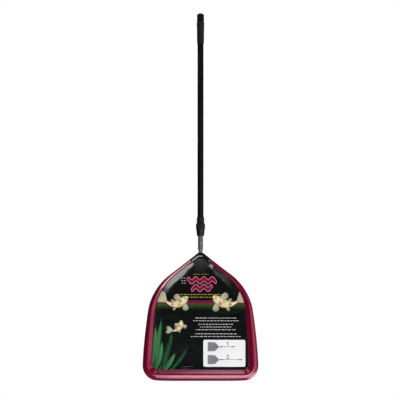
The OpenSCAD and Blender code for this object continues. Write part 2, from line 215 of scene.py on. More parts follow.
# ------------------------------------------------- the hoop's line, as in the CAD
LEG_X, BEND_R, V_ANG, V_LEN = 4.0, 8.0, 51.8, 103.0
SH_R, SIDE_A, SIDE_LEN, C_R = 175.0, 7.0, 168.0, 28.0
Z_NECK = -729.0
Z_BEND = Z_NECK - 9.8
Z_YOKE = Z_NECK - 10.2
Z_SCREW = Z_YOKE - 9.4


def ahead(a):
    a = math.radians(a)
    return np.array([math.sin(a), -math.cos(a)])


def n_out(a):
    a = math.radians(a)
    return np.array([math.cos(a), math.sin(a)])


V_START = np.array([LEG_X + BEND_R * (1 - math.cos(math.radians(V_ANG))),
                    Z_BEND - BEND_R * math.sin(math.radians(V_ANG))])
RUNS = []          # (s at start, length, start point, start angle, turn in degrees, radius)


def _build_runs():
    p, a, s = V_START, V_ANG, 0.0
    side_r = SIDE_LEN / math.radians(SIDE_A - 1.5)
    for length, turn, r in ((V_LEN, 0.0, 0.0),
                            (math.radians(V_ANG - SIDE_A) * SH_R, SIDE_A - V_ANG, SH_R),
                            (SIDE_LEN, 1.5 - SIDE_A, side_r),
                            (math.radians(91.5) * C_R, -91.5, C_R)):
        RUNS.append((s, length, p, a, turn, r))
        if r == 0:
            p = p + ahead(a) * length
        else:
            c = p - r * n_out(a)
            a = a + turn
            p = c + r * n_out(a)
        s += length
    RUNS.append((s, p[0], p, a, 0.0, 0.0))
    return s, s + p[0]


S_FOOT, S_END = _build_runs()
S_CORNER = RUNS[3][0]


def on_line(s):
    """(point [x, z], angle) at the distance s down the right half of the hoop."""
    for s0, length, p, a, turn, r in RUNS:
        if s <= s0 + length + 1e-9:
            d = s - s0
            if r == 0:
                return p + ahead(a) * d, a
            b = a + turn * d / length
            return p - r * n_out(a) + r * n_out(b), b
    return on_line(S_END)


def stations(s0, step=4.0):
    """Distances from s0 to the middle of the foot, close together in the corner."""
    out, s = [], s0
    while s < S_END - 0.5 * step:
        out.append(s)
        s += step * (0.3 if S_CORNER - 6 < s < S_FOOT + 6 else 1.0)
    return out + [S_END]


def lookup(s, t):
    return float(np.interp(s, [k[0] for k in t], [k[1] for k in t]))


def ease(s, t):
    return (lookup(s - 14, t) + 2 * lookup(s, t) + lookup(s + 14, t)) / 4


LIP_OUT, LIP_IN, LIP_H, WALL = 22.0, 15.0, 11.0, 1.8
OUT_T = [(30, 4.7), (95, 5.1), (171, 9), (218, 11.6), (300, 13.8), (S_CORNER - 30, 16),
         (S_CORNER + 8, 16.4), (S_FOOT, LIP_OUT - 1), (S_FOOT + 40, LIP_OUT), (S_FOOT + 200, LIP_OUT)]
IN_T = [(30, 5.6), (95, 6.6), (171, 9.5), (218, 11.4), (300, 13.2), (S_CORNER - 16, 13.9),
        (S_CORNER + 22, 18.5), (S_FOOT + 16, LIP_IN), (S_FOOT + 200, LIP_IN)]
H_T = [(30, 4.9), (95, 5.4), (171, 7.2), (218, 8.4), (300, 9.6), (S_CORNER - 20, 10),
       (S_FOOT, LIP_H), (S_FOOT + 200, LIP_H)]
T_T = [(30, 5.6), (95, 5.7), (218, 6.2), (S_CORNER, 7), (S_FOOT, 7.6), (S_FOOT + 200, 7.6)]


def bez(p0, p1, p2, p3, t):
    p0, p1, p2, p3 = (np.array(p, dtype=float) for p in (p0, p1, p2, p3))
    return (1 - t) ** 3 * p0 + 3 * (1 - t) ** 2 * t * p1 + 3 * (1 - t) * t * t * p2 + t ** 3 * p3


def ring_at(s, side, pts):
    p, a = on_line(s)
    n = n_out(a)
    return [(side * (p[0] + n[0] * u), -v, p[1] + n[1] * u) for u, v in pts]


def both_sides(ss, section):
    return ([ring_at(s, 1, section(s)) for s in ss]
            + [ring_at(s, -1, section(s)) for s in reversed(ss[:-1])])


# ----------------------------------------------------------------- the guard
def guard_section(s):
    b, f, h, t = ease(s, OUT_T), ease(s, IN_T), ease(s, H_T), ease(s, T_T)
    pts = []
    # rounded inner tip
    for k in range(5):
        a = math.radians(200 - k * 40)
        pts.append((-f + 0.9 + 0.9 * math.cos(a), 0.9 * math.sin(a)))
    # inner slope, hollowed a little, up to the ridge
    top = 0.91
    for k in range(1, 8):
        w = top * k / 7
        dip = -0.35 * math.sin(math.pi * min(1.0, w / top))
        pts.append((-f + 0.45 + (f - 0.45) * w, 0.85 + (h - 0.85) * w + dip * 0.5))
    a0 = np.array(pts[-1])
    a1 = bez((0, h), (0.5 * b, h), (b, 0.62 * h), (b, 0), 0.10)
    for k in range(1, 6):
        w = k / 6
        q = (1 - w) ** 2 * a0 + 2 * (1 - w) * w * np.array((0.0, h)) + w * w * a1
        pts.append(tuple(q))
    for k in range(11):
        pts.append(tuple(bez((0, h), (0.5 * b, h), (b, 0.62 * h), (b, 0), 0.10 + 0.90 * k / 10)))
    for k in range(1, 9):
        pts.append(tuple(bez((b, 0), (b, -0.75 * t), (0.82 * b, -t), (0.4 * b, -t), k / 8)))
    pts += [(-0.6, -t), (-1.15, -t + 0.35), (-1.2, -t + 0.9), (-1.15, -t + 1.45), (-0.6, -t + WALL)]
    e = WALL
    b, h, t = b - e, h - 1.15 * e, t - e
    for k in range(4, -1, -1):
        pts.append(tuple(bez((b, 0), (b, -0.75 * t), (0.82 * b, -t), (0.4 * b, -t), k / 4)))
    for k in range(5, -1, -1):
        pts.append(tuple(bez((0, h), (0.5 * b, h), (b, 0.62 * h), (b, 0), k / 6)))
    pts.append((-f * 0.5, -0.9 + (h + 0.9) * 0.5))
    return pts


def guard_material():
    m = Mat("guard_maroon")
    broad = m.noise(9.0, 4.0)
    fine = m.noise(700.0, 2.0)
    flow = m.noise(42.0, 5.0, 0.6, (1.0, 1.0, 0.22))
    base = m.ramp(m.math("ADD", m.math("MULTIPLY", broad, 0.6), m.math("MULTIPLY", flow, 0.4)),
                  [(0.32, rgb(107, 0, 37)), (0.68, rgb(121, 2, 46))])
    low = m.bump(m.noise(60.0, 2.0), 0.08, 0.0003)
    # the photo's lip is dark along its lowest edge, which these lights don't give, so the colour does
    parts = m.node("ShaderNodeSeparateXYZ")
    m.link(m.coords(), parts.inputs[0])
    low_edge = m.math("MULTIPLY", m.span(parts.outputs["Z"], 0.0, 1.0, -1.1362, -1.1398),
                  m.span(flow, 0.72, 1.0, 0.3, 0.7))
    base = m.mix(low_edge, base, rgb(46, 26, 30))
    m.put(Base_Color=base,
          Roughness=m.math("ADD", m.span(flow, 0.17, 0.25, 0.3, 0.7), m.math("MULTIPLY", low_edge, 0.3)),
          Specular_IOR_Level=0.9, Specular_Tint=(1.0, 0.37, 0.50, 1.0), Coat_Weight=0.6, Coat_Roughness=0.12,
          Normal=m.bump(fine, 0.05, 0.00003, low))
    return m.m


guard_rings = both_sides(stations(31.0), guard_section)
v, f = loft(guard_rings)
guard = piece("net_guard_shell", v, f, guard_material(), "head", sharp=42)
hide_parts("net_guard")


# -------------------------------------------------------------- the frame rod
def tube_rings(path, radius, sides):
    """Rings round a path in the plane y = y0; path is [(x, y, z, angle)], angle off the pole."""
    out = []
    for x, y, z, a in path:
        n = n_out(a)
        out.append([(x + n[0] * radius * math.cos(k), y + radius * math.sin(k), z + n[1] * radius * math.cos(k))
                    for k in (2 * math.pi * i / sides for i in range(sides))])
    return out


rod_half = [(LEG_X, 0, Z_NECK + 40, 0.0), (LEG_X, 0, Z_NECK + 10, 0.0), (LEG_X, 0, Z_NECK, 0.0),
            (LEG_X, 0, Z_BEND, 0.0)]
for k in range(1, 11):
    a = V_ANG * k / 10
    rod_half.append((LEG_X + BEND_R * (1 - math.cos(math.radians(a))), 0,
                     Z_BEND - BEND_R * math.sin(math.radians(a)), a))
for s in stations(5.0, 5.0):
    p, a = on_line(s)
    rod_half.append((p[0], 0, p[1], a))
rod_right = tube_rings(rod_half, 2.45, 16)
rod_left = [[(-x, y, z) for x, y, z in r] for r in reversed(rod_right[:-1])]
v, f = loft(rod_right + rod_left)
rod = piece("frame_rod_bent", v, f, metal("rod_plated", rgb(74, 74, 79), rgb(104, 104, 111),
            (0.28, 0.42), (1, 1, 0.15), 500.0), "head", sharp=50)
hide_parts("frame_rod")


# -------------------------------------------------------------------- the yoke
def yoke_outline(e):
    n, d = n_out(V_ANG), ahead(V_ANG)
    tip = V_START + (30.5 - e) * d
    half = [tip + (4.7 - e) * n, tip - (6.4 - e) * n, tip - (6.4 - e) * n - 15 * d,
            np.array([6.0, Z_YOKE - 14 + e])]
    pts = [np.array([-7.4 + 0.5 * e, Z_YOKE - e]), np.array([7.4 - 0.5 * e, Z_YOKE - e])] + half
    pts += [np.array([-q[0], q[1]]) for q in reversed(half)]
    return pts


def chaikin(pts, rounds=2, cut=0.12):
    for _ in range(rounds):
        out = []
        for i, p in enumerate(pts):
            q = pts[(i + 1) % len(pts)]
            out += [p + (q - p) * cut, q - (q - p) * cut]
        pts = out
        cut = 0.25
    return pts


def yoke_half(name, side, mat):
    # As many points on every ring: the count comes from the outermost one.
    base = yoke_outline(0.0)
    counts = [max(1, int(np.linalg.norm(base[(i + 1) % len(base)] - base[i]) / 2.5)) for i in range(len(base))]
    rings = []
    # round at the edge, then a low roof up to a ridge along each arm
    steps = [(0.0, 0.05), (0.0, 0.6), (0.10, 1.5), (0.35, 2.4), (0.80, 3.25), (1.35, 3.85), (2.0, 4.2),
             (3.1, 4.52), (4.2, 4.83), (4.9, 5.02), (5.2, 5.07)]
    for e, y in steps:
        o = yoke_outline(e)
        pts = []
        for i, p in enumerate(o):
            q = o[(i + 1) % len(o)]
            pts += [p + (q - p) * k / counts[i] for k in range(counts[i])]
        pts = chaikin(pts, 2, 0.22)
        rings.append([(p[0], side * y, p[1]) for p in pts])
    if side > 0:
        rings = [list(reversed(r)) for r in rings]
    v, f = loft(rings)
    ob = piece(name, v, f, mat, "head", sharp=40)
    return ob


yoke_mat = plastic("yoke_black", rgb(6, 6, 7), rgb(12, 12, 14), (0.15, 0.22), 800, 0.08, coat=0.6)
yf = yoke_half("yoke_cover_front", -1, yoke_mat)
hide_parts("yoke_front")
yr = yoke_half("yoke_cover_rear", 1, yoke_mat)


def bore(ob, x, z, r, y0, y1, sides=40):
    """Sink a round seat into the piece, from y1 down to y0."""
    rings = [[(x + r * math.cos(t), y, z + r * math.sin(t)) for t in (2 * math.pi * k / sides for k in range(sides))]
             for y in (y1, y0)]
    cv, cf = loft(rings)
    me = bpy.data.meshes.new("bore_cutter")
    me.from_pydata((np.array(cv) * MM).tolist(), [], cf)
    cutter = bpy.data.objects.new("bore_cutter", me)
    scene.collection.objects.link(cutter)
    cutter.matrix_world = ob.matrix_world
    cut = ob.modifiers.new("bore", "BOOLEAN")
    cut.operation, cut.solver, cut.object = "DIFFERENCE", "EXACT", cutter
    bpy.context.view_layer.update()
    new = bpy.data.meshes.new_from_object(ob.evaluated_get(bpy.context.evaluated_depsgraph_get()))
    ob.modifiers.remove(cut)
    bpy.data.objects.remove(cutter)
    bpy.data.meshes.remove(me)
    ob.data = new
    new.set_sharp_from_angle(angle=math.radians(40))


# the screw's seat
bore(yr, 0.0, Z_YOKE - 9.4, 3.1, 2.6, 12.0)
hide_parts("yoke_rear")


# ---------------------------------------------------------------- the hem tape
def fabric(name, dark, light, threads, bump=0.5, depth=0.00025, rough=0.85, sheen=0.25):
    """Woven tape: warp and weft as two crossed waves, with fuzz between them."""
    m = Mat(name)
    warp = m.node("ShaderNodeTexWave", Scale=threads, Distortion=0.6, Detail=1.0)
    warp.bands_direction = "X"
    weft = m.node("ShaderNodeTexWave", Scale=threads * 0.86, Distortion=0.6, Detail=1.0)
    weft.bands_direction = "Z"
    for w in (warp, weft):
        m.link(m.coords(), w.inputs["Vector"])
    weave = m.math("MAXIMUM", warp.outputs["Fac"], weft.outputs["Fac"])
    fuzz = m.noise(1500.0, 4.0, 0.7)
    both = m.math("ADD", m.math("MULTIPLY", weave, 0.7), m.math("MULTIPLY", fuzz, 0.3))
    m.put(Base_Color=m.ramp(both, [(0.25, dark), (0.85, light)]),
          Roughness=m.span(fuzz, rough - 0.1, rough + 0.08, 0.3, 0.7),
          Sheen_Weight=sheen, Sheen_Roughness=0.5, Specular_IOR_Level=0.3,
          Normal=m.bump(both, bump, depth))
    return m.m


def hem_section(s):
    """A tape wrapped round the rod, its two edges laid together behind it as a tail."""
    g = ease(s, IN_T)
    wave = 0.12 * math.sin(s * 0.9) + 0.08 * math.sin(s * 0.37 + 1.0)
    end = -g - 2.4
    top, low = -2.78, -3.58 - wave * 0.3
    # the loop runs u,v; v is towards the mouth, so the tail lies at v = -2.8 to -3.6
    loop = [(3.1 * math.cos(math.radians(a)), 3.1 * math.sin(math.radians(a))) for a in range(-70, 221, 22)]
    tail_top = [(-3.2, top), (end * 0.5, top + wave * 0.4), (end + 0.3, top)]
    tip = [(end, (top + low) / 2)]
    tail_low = [(end + 0.3, low), (end * 0.5, low + wave * 0.4), (-2.0, low), (0.6, low)]
    return tail_low[::-1][:1] + loop + tail_top + tip + tail_low[:-1]


def throat():
    """The gusset of tape between the arms, a little rumpled, as rings from right to left."""
    d, n = ahead(V_ANG), n_out(V_ANG)
    cols = []
    for s, a, b in ((46, 6.2, 7.6), (43, 5.4, 8.1), (40, 4.8, 8.6), (37, 4.8, 9.1), (34, 4.9, 9.6), (32.2, 5.0, 10.1),
                    (31, 5.2, 10.4), (28, 5.4, 11.3), (25, 5.4, 12.2), (22, 5.4, 13.3), (19, 5.4, 14.4),
                    (15.7, 5.4, 15.5)):
        cols.append((V_START + d * s - n * a, V_START + d * s - n * b))
    for x in (5.8, 3.9, 2.0, 0.0):
        cols.append((np.array([x, Z_YOKE - 12.9]), np.array([x, Z_YOKE - 28.5])))
    cols += [(a * (-1, 1), b * (-1, 1)) for a, b in reversed(cols[:-1])]
    rings = []
    for j, (a, b) in enumerate(cols):
        front, back = [], []
        for k in range(7):
            w = k / 6
            q = a + (b - a) * w
            edge = 0.12 if k in (0, 6) else 0.0
            y = 2.93 + 0.05 * math.sin(0.9 * j + 2.1 * w) + edge
            front.append((q[0], y, q[1]))
            back.append((q[0], y + 0.52 - 2 * edge, q[1]))
        rings.append(front + back[::-1])
    return loft(rings)


v, f = loft(both_sides(stations(28.4, 5.0), hem_section))
tv, tf = throat()
f = list(f) + [tuple(i + len(v) for i in q) for q in tf]
v = list(v) + list(tv)
hem = piece("net_hem_tape", v, f, fabric("hem_weave", rgb(14, 14, 16), rgb(38, 38, 42), 150.0), "head",
            sharp=50)
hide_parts("net_hem")


# ------------------------------------------------------------------ the netting
RIM_T = [(0, 7.4), (34, 7.4), (60, 5.4), (95, 5.2), (171, 8), (218, 10), (300, 11.8),
         (S_FOOT, LIP_IN - 1.4), (900, LIP_IN - 1.4)]


def inset_outline(ss, inset):
    right = []
    for s in ss:
        p, a = on_line(s)
        q = p - inset(s) * n_out(a)
        right.append(np.array([max(0.0, q[0]), q[1]]))
    return right


rim_right = inset_outline(stations(6.0, 3.0), lambda s: lookup(s, RIM_T))
rim = np.array(rim_right + [np.array([-q[0], q[1]]) for q in reversed(rim_right[:-1])])
net_mid = np.array([0.0, rim_right[-1][1] + 118.0])
NET_DEPTH, NET_FLAT = 42.0, 0.972
_d = rim - net_mid
_ang = np.unwrap(np.arctan2(_d[:, 0], -_d[:, 1]))       # 0 straight down
_ord = np.argsort(_ang)
RIM_ANG, RIM_RAD = _ang[_ord], np.linalg.norm(_d, axis=1)[_ord]


def net_t(x, z):
    dx, dz = x - net_mid[0], z - net_mid[1]
    a = np.arctan2(dx, -dz)
    a = np.where(a < RIM_ANG[0], a + 2 * math.pi, a)
    a = np.where(a > RIM_ANG[-1], a - 2 * math.pi, a)
    return np.hypot(dx, dz) / np.interp(a, RIM_ANG, RIM_RAD)


def net_y(x, z):
    t = np.clip(net_t(x, z) / NET_FLAT, 0.0, 1.0)
    return 4.25 + NET_DEPTH * np.power(1 - np.power(t, 2.3), 0.8)


def strands(pitch, wide, high, lift):
    """Crossed threads at 45 degrees, over and under by turns, cut off at the rim."""
    verts, faces = [], []
    for way in (0, 1):
        d = np.array([1.0, 1.0]) if way == 0 else np.array([1.0, -1.0])
        d /= np.linalg.norm(d)
        e = np.array([-d[1], d[0]])
        for j in range(-110, 111):
            i = np.arange(-110, 111)
            pts = net_mid + np.outer(i * pitch, d) + e * (j * pitch)
            inside = net_t(pts[:, 0], pts[:, 1]) < 0.999
            if inside.sum() < 2:
                continue
            first, last = np.argmax(inside), len(inside) - 1 - np.argmax(inside[::-1])
            run = pts[first:last + 1]
            sign = np.where((i[first:last + 1] + j) % 2 == 0, 1.0, -1.0) * (1 if way == 0 else -1)
            # the cut ends, on the rim
            ends = []
            for k, step in ((0, -1), (-1, 1)):
                lo, hi = 0.0, 1.0
                for _ in range(12):
                    mid = (lo + hi) / 2
                    q = run[k] + d * (step * pitch * mid)
                    lo, hi = (mid, hi) if net_t(q[0], q[1]) < 0.999 else (lo, mid)
                ends.append(run[k] + d * (step * pitch * lo))
            run = np.vstack([ends[0], run, ends[1]])
            sign = np.concatenate([[0.0], sign, [0.0]])
            x, z = run[:, 0], run[:, 1]
            y = net_y(x, z)
            h = 0.4
            nx = -(net_y(x + h, z) - net_y(x - h, z)) / (2 * h)
            nz = -(net_y(x, z + h) - net_y(x, z - h)) / (2 * h)
            nrm = np.stack([nx, np.ones_like(nx), nz], axis=1)
            nrm /= np.linalg.norm(nrm, axis=1)[:, None]
            c = np.stack([x, y, z], axis=1) + nrm * (sign * lift)[:, None]
            tan = np.gradient(c, axis=0)
            tan /= np.linalg.norm(tan, axis=1)[:, None]
            side = np.cross(tan, nrm)
            side /= np.linalg.norm(side, axis=1)[:, None]
            up = np.cross(side, tan)
            tri = [(-wide / 2, -high / 3), (wide / 2, -high / 3), (0.0, high * 2 / 3)]
            rings = np.stack([c + side * a + up * b for a, b in tri], axis=1)
            base = len(verts)
            verts.extend(rings.reshape(-1, 3).tolist())
            n = len(run)
            for k in range(n - 1):
                a = base + 3 * k
                for m in range(3):
                    q = (m + 1) % 3
                    faces.append((a + m, a + 3 + m, a + 3 + q, a + q))
            faces.append((base + 2, base + 1, base))
            faces.append((base + 3 * (n - 1), base + 3 * (n - 1) + 1, base + 3 * (n - 1) + 2))
    return verts, faces


def thread_material(name, dark, light):
    m = Mat(name)
    twist = m.noise(2600.0, 3.0, 0.6, (1.0, 1.0, 1.0))
    cloud = m.noise(30.0, 3.0)
    m.put(Base_Color=m.mix(m.span(cloud, 0, 1, 0.35, 0.65), dark, m.ramp(twist, [(0.35, dark), (0.7, light)])),
          Roughness=m.span(twist, 0.5, 0.7, 0.3, 0.7), Sheen_Weight=0.15, Sheen_Roughness=0.5,
          Specular_IOR_Level=0.4, Normal=m.bump(twist, 0.4, 0.00008))
    return m.m


v, f = strands(2.75, 0.78, 0.56, 0.17)
net = piece("net_netting", v, f, thread_material("net_thread", rgb(16, 17, 18), rgb(44, 45, 48)), "head",
            smooth=True)
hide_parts("net_mesh")


def thread_run(c, out, r, verts, faces, sides=6):
    """A round thread through the points c, its bulge towards out."""
    c = np.asarray(c, dtype=float)
    tan = np.gradient(c, axis=0)
    tan /= np.linalg.norm(tan, axis=1)[:, None]
    lat = np.cross(tan, np.tile(out, (len(c), 1)))
    lat /= np.linalg.norm(lat, axis=1)[:, None]
    up = np.cross(lat, tan)
    base = len(verts)
    for k in range(len(c)):
        w = 0.8 if k in (0, len(c) - 1) else 1.0
        for m in range(sides):
            t = 2 * math.pi * m / sides
            verts.append(tuple(c[k] + w * r * (lat[k] * math.cos(t) + up[k] * math.sin(t))))
    for k in range(len(c) - 1):
        for m in range(sides):
            q = (m + 1) % sides
            faces.append((base + sides * k + m, base + sides * k + q,
                          base + sides * (k + 1) + q, base + sides * (k + 1) + m))
    faces.append(tuple(base + m for m in range(sides - 1, -1, -1)))
    faces.append(tuple(base + sides * (len(c) - 1) + m for m in range(sides)))


def stitch_row():
    """Two rows of running stitch on the back, through mesh and tape, and one along the throat."""
    verts, faces = [], []
    back = np.array([0.0, 1.0, 0.0])
    for side in (1, -1):
        for row, off in ((0, 1.5), (1, 3.1)):
            s0 = 42.0 + 1.3 * row
            while s0 + 3.4 < S_END - 0.8:
                path = []
                for k in range(7):
                    w = k / 6
                    p, a = on_line(s0 + 3.4 * w)
                    q = p - (lookup(s0 + 3.4 * w, RIM_T) + off) * n_out(a)
                    path.append((side * q[0], 4.72 + 0.55 * math.sin(math.pi * w) ** 0.6, q[1]))
                thread_run(path, back, 0.27, verts, faces)
                s0 += 5.2
    x = -11.4
    while x < 11.0:
        path = [(x + 2.2 * k / 6, 3.40 + 0.42 * math.sin(math.pi * k / 6) ** 0.6, Z_YOKE - 26.6) for k in range(7)]
        thread_run(path, back, 0.24, verts, faces)
        x += 3.3
    return verts, faces


v, f = stitch_row()
stitches = piece("hem_stitching", v, f, thread_material("stitch_thread", rgb(70, 70, 74), rgb(120, 120, 126)),
                 "head")
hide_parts("hem_stitches")


# ------------------------------------------------------------ the display card
CARD_T = 0.8
Y_CARD = -2.6


def card_in(s):
    return 7.9 if s < 36 else max(ease(s, IN_T) - 0.7, 7.9 - (s - 36) * 0.2)


card_ss = stations(12.0, 4.0)
card_right = inset_outline(card_ss, card_in)
tip = np.array([0.0, card_right[0][1] + 1.2])
outline = [tip] + card_right + [np.array([-q[0], q[1]]) for q in reversed(card_right[:-1])]
OUTLINE = np.array(outline)
Z_HINGE = inset_outline([12.0], card_in)[0][1] - 3.0


def px(x, y):
    """A place on the card from the layout's grid of 3.15 mm squares, as millimetres [x, z]."""
    return np.array([(x - 200.5) * 3.15, -(y - 18.0) * 3.15])


ART = []      # (polygon [[x, z]], colour function)


def flat_colour(r, g, b):
    c = np.array(rgb(r, g, b)[:3])
    return lambda q: np.tile(c, (len(q), 1))


def add(poly, colour):
    ART.append((np.array(poly), colour))


def blob(cx, cy, rx, ry, colour, n=20, turn=0.0):
    c, s = math.cos(turn), math.sin(turn)
    pts = []
    for k in range(n):
        a = 2 * math.pi * k / n
        x, y = rx * math.cos(a), ry * math.sin(a)
        pts.append(px(cx + c * x - s * y, cy + s * x + c * y))
    add(pts, colour)


def bar(x0, x1, y, h, colour):
    r = h / 2
    pts = []
    for cx, a0 in ((x1 - r, -90), (x0 + r, 90)):
        for k in range(4):
            a = math.radians(a0 + 60 * k)
            pts.append(px(cx + r * math.cos(a), y + r * math.sin(a)))
    add(pts, colour)


def rounded(x0, y0, x1, y1, r, colour, n=6):
    pts = []
    for cx, cy, a0 in ((x1 - r, y0 + r, -90), (x1 - r, y1 - r, 0), (x0 + r, y1 - r, 90), (x0 + r, y0 + r, 180)):
        for k in range(n):
            a = math.radians(a0 + 90 * k / (n - 1))
            pts.append(px(cx + r * math.cos(a), cy + r * math.sin(a)))
    add(pts, colour)


def stroke(pts, w, colour):
    """A line of round-ended width w through px points."""
    for (x0, y0), (x1, y1) in zip(pts, pts[1:]):
        a = math.atan2(y1 - y0, x1 - x0)
        out = []
        for cx, cy, b in ((x1, y1, a - math.pi / 2), (x0, y0, a + math.pi / 2)):
            for k in range(5):
                t = b + math.pi * k / 4
                out.append(px(cx + w / 2 * math.cos(t), cy + w / 2 * math.sin(t)))
        add(out, colour)


def col(r, g, b):
    return np.array(rgb(r, g, b)[:3])


def blade(root, tip_at, bow, width, c0, c1, edge, rib=None, n=9):
    """A long leaf from root to tip, bowed sideways by bow; its colours run from root to tip."""
    r, t = np.array(root, dtype=float), np.array(tip_at, dtype=float)
    d = t - r
    length = float(np.linalg.norm(d))
    d /= length
    e = np.array([-d[1], d[0]])

    def spine(w):
        return r + d * length * w + e * bow * math.sin(math.pi * w * 0.62) / math.sin(math.pi * 0.62)

    def half(w):
        return width * (math.sin(math.pi * min(1.0, w * 0.93 + 0.07)) ** 0.8) if w < 1 else 0.0
    left = [spine(k / n) + e * half(k / n) for k in range(n + 1)]
    right = [spine(k / n) - e * half(k / n) for k in range(n, -1, -1)]
    o = px(*r)
    dd = np.array([d[0], -d[1]])

    def colour(q):
        w = np.clip(((q - o) @ dd) / (length * 3.15), 0, 1)[:, None]
        return c0 + (c1 - c0) * w ** 0.8
    add([px(*q) for q in left + right[1:]], colour)
    # the shaded half, and a pale rib
    mid = [spine(k / n) for k in range(n + 1)]
    add([px(*q) for q in mid + right[1:]], lambda q: colour(q) * 0.62 + edge * 0.12)
    if rib is not None:
        thin = [spine(k / n) + e * 0.13 * (1 - k / n) for k in range(n + 1)]
        low = [spine(k / n) - e * 0.13 * (1 - k / n) for k in range(n, -1, -1)]
        add([px(*q) for q in thin + low[1:]], lambda q: np.tile(rib, (len(q), 1)))


def fish(cx, cy, length, heading, bend, seed):
    """A pale carp seen from above: body, patches, scales, fins and a veiled tail."""
    g = random.Random(seed)
    n = 26

    def spine(t):
        """The back's line and its direction, t from 0 at the nose to 1 at the tail's root."""
        a0 = heading + math.pi
        x = y = 0.0
        steps = 24
        for k in range(steps):
            w = (k + 0.5) / steps * t
            a = a0 + bend * (w - 0.45) * (1.0 + 1.2 * w)
            x += math.cos(a) * t / steps
            y += math.sin(a) * t / steps
        a = a0 + bend * (t - 0.45) * (1.0 + 1.2 * t)
        return np.array([x, y]) * length * 0.70, a
    mid = spine(0.5)[0]
    origin = np.array([cx, cy]) - mid

    def at(t, w):
        p, a = spine(max(0.0, min(1.0, t)))
        e = np.array([-math.sin(a), math.cos(a)])
        return origin + p + e * w * length

    def girth(t):
        return float(np.interp(t, (0, 0.03, 0.10, 0.22, 0.38, 0.55, 0.72, 0.88, 1.0),
                               (0.0, 0.042, 0.078, 0.110, 0.122, 0.106, 0.072, 0.038, 0.026)))
    cream, shade = col(244, 238, 214), col(168, 158, 112)
    gold, amber = col(226, 186, 66), col(206, 132, 40)

    def ray_fin(root_t, root_w, way, spread, reach, tone):
        """A fan of rays; way is its middle direction from the body's own."""
        p, a = spine(root_t)
        o = at(root_t, root_w)
        count = 9
        pts = [o]
        for k in range(2 * count + 1):
            b = a + way + spread * (k / (2 * count) - 0.5)
            r = reach * length * (0.93 + 0.07 * (k % 2)) * (1 - 0.25 * abs(k / count - 1) ** 2)
            pts.append(o + r * np.array([math.cos(b), math.sin(b)]))
        c = px(*o)
        far = reach * length * 3.15

        def colour(q):
            w = np.clip(np.linalg.norm(q - c, axis=1) / far, 0, 1)[:, None]
            return (cream * 0.9 + (col(132, 136, 104) - cream * 0.9) * w ** 1.3) * tone
        add([px(*q) for q in pts], colour)
        for k in range(1, count):
            b = a + way + spread * (k / count - 0.5)
            d = np.array([math.cos(b), math.sin(b)])
            e = np.array([-d[1], d[0]])
            far_p = o + 0.92 * reach * length * d * (1 - 0.25 * abs(2 * k / count - 1) ** 2)
            w = 0.006 * length
            add([px(*q) for q in (o + e * w, far_p, o - e * w)],
                lambda q: np.tile(col(196, 190, 150) * tone, (len(q), 1)))
    # fins under the body
    for side in (1, -1):
        ray_fin(0.24, side * 0.080, side * 0.95, 1.05, 0.24, 0.88)
        ray_fin(0.58, side * 0.066, side * 0.60, 0.70, 0.15, 0.80)
    for way, tone in ((0.34, 0.92), (-0.34, 0.86)):
        ray_fin(0.97, 0.0, way, 0.70, 0.36, tone)
    # body
    outline = [at(k / n, girth(k / n)) for k in range(n + 1)] + [at(k / n, -girth(k / n)) for k in range(n, 0, -1)]
    add([px(*q) for q in outline], lambda q: np.tile(shade, (len(q), 1)))
    for share, tint in ((0.90, 0.30), (0.76, 0.60), (0.60, 0.85), (0.40, 1.0)):
        ring = [at(0.015 + 0.975 * k / n, share * girth(k / n)) for k in range(n + 1)]
        ring += [at(0.015 + 0.975 * k / n, -share * girth(k / n)) for k in range(n, 0, -1)]
        c = shade + (cream - shade) * tint
        add([px(*q) for q in ring], lambda q, c=c: np.tile(c, (len(q), 1)))
    # golden patches
    for t0, t1, w0, w1, tone in ((0.05, 0.20, -0.55, 0.60, gold), (0.30, 0.47, -0.20, 0.86, amber),
                                 (0.40, 0.56, -0.85, 0.05, gold), (0.66, 0.80, -0.60, 0.75, amber)):
        pts = []
        for k in range(14):
            b = 2 * math.pi * k / 14
            rr = 0.84 + 0.16 * math.sin(3 * b + seed) + g.uniform(-0.06, 0.06)
            t = (t0 + t1) / 2 + (t1 - t0) / 2 * rr * math.cos(b)
            w = (w0 + w1) / 2 + (w1 - w0) / 2 * rr * math.sin(b)
            pts.append(at(t, w * girth(t)))
        add([px(*q) for q in pts], lambda q, c=tone: np.tile(c, (len(q), 1)))
    # scales: small crescents, offset row by row
    rows = 12
    for i in range(rows):
        t = 0.27 + 0.60 * i / rows
        per = 5
        for k in range(per):
            w = -0.78 + 1.56 * (k + (0.5 if i % 2 else 0.0)) / per + 0.08
            if abs(w) > 0.84:
                continue
            o = at(t, w * girth(t))
            p, a = spine(t)
            r = girth(t) * length * 0.19
            pts = []
            for m in range(7):
                b = a + math.pi / 2 - math.pi * m / 6
                pts.append(o + r * np.array([math.cos(b), math.sin(b)]))
            for m in range(6, -1, -1):
                b = a + math.pi / 2 - math.pi * m / 6
                pts.append(o + 0.80 * r * np.array([math.cos(b), math.sin(b)])
                           - 0.12 * r * np.array([math.cos(a), math.sin(a)]))
            add([px(*q) for q in pts], lambda q: np.tile(col(176, 160, 104), (len(q), 1)))
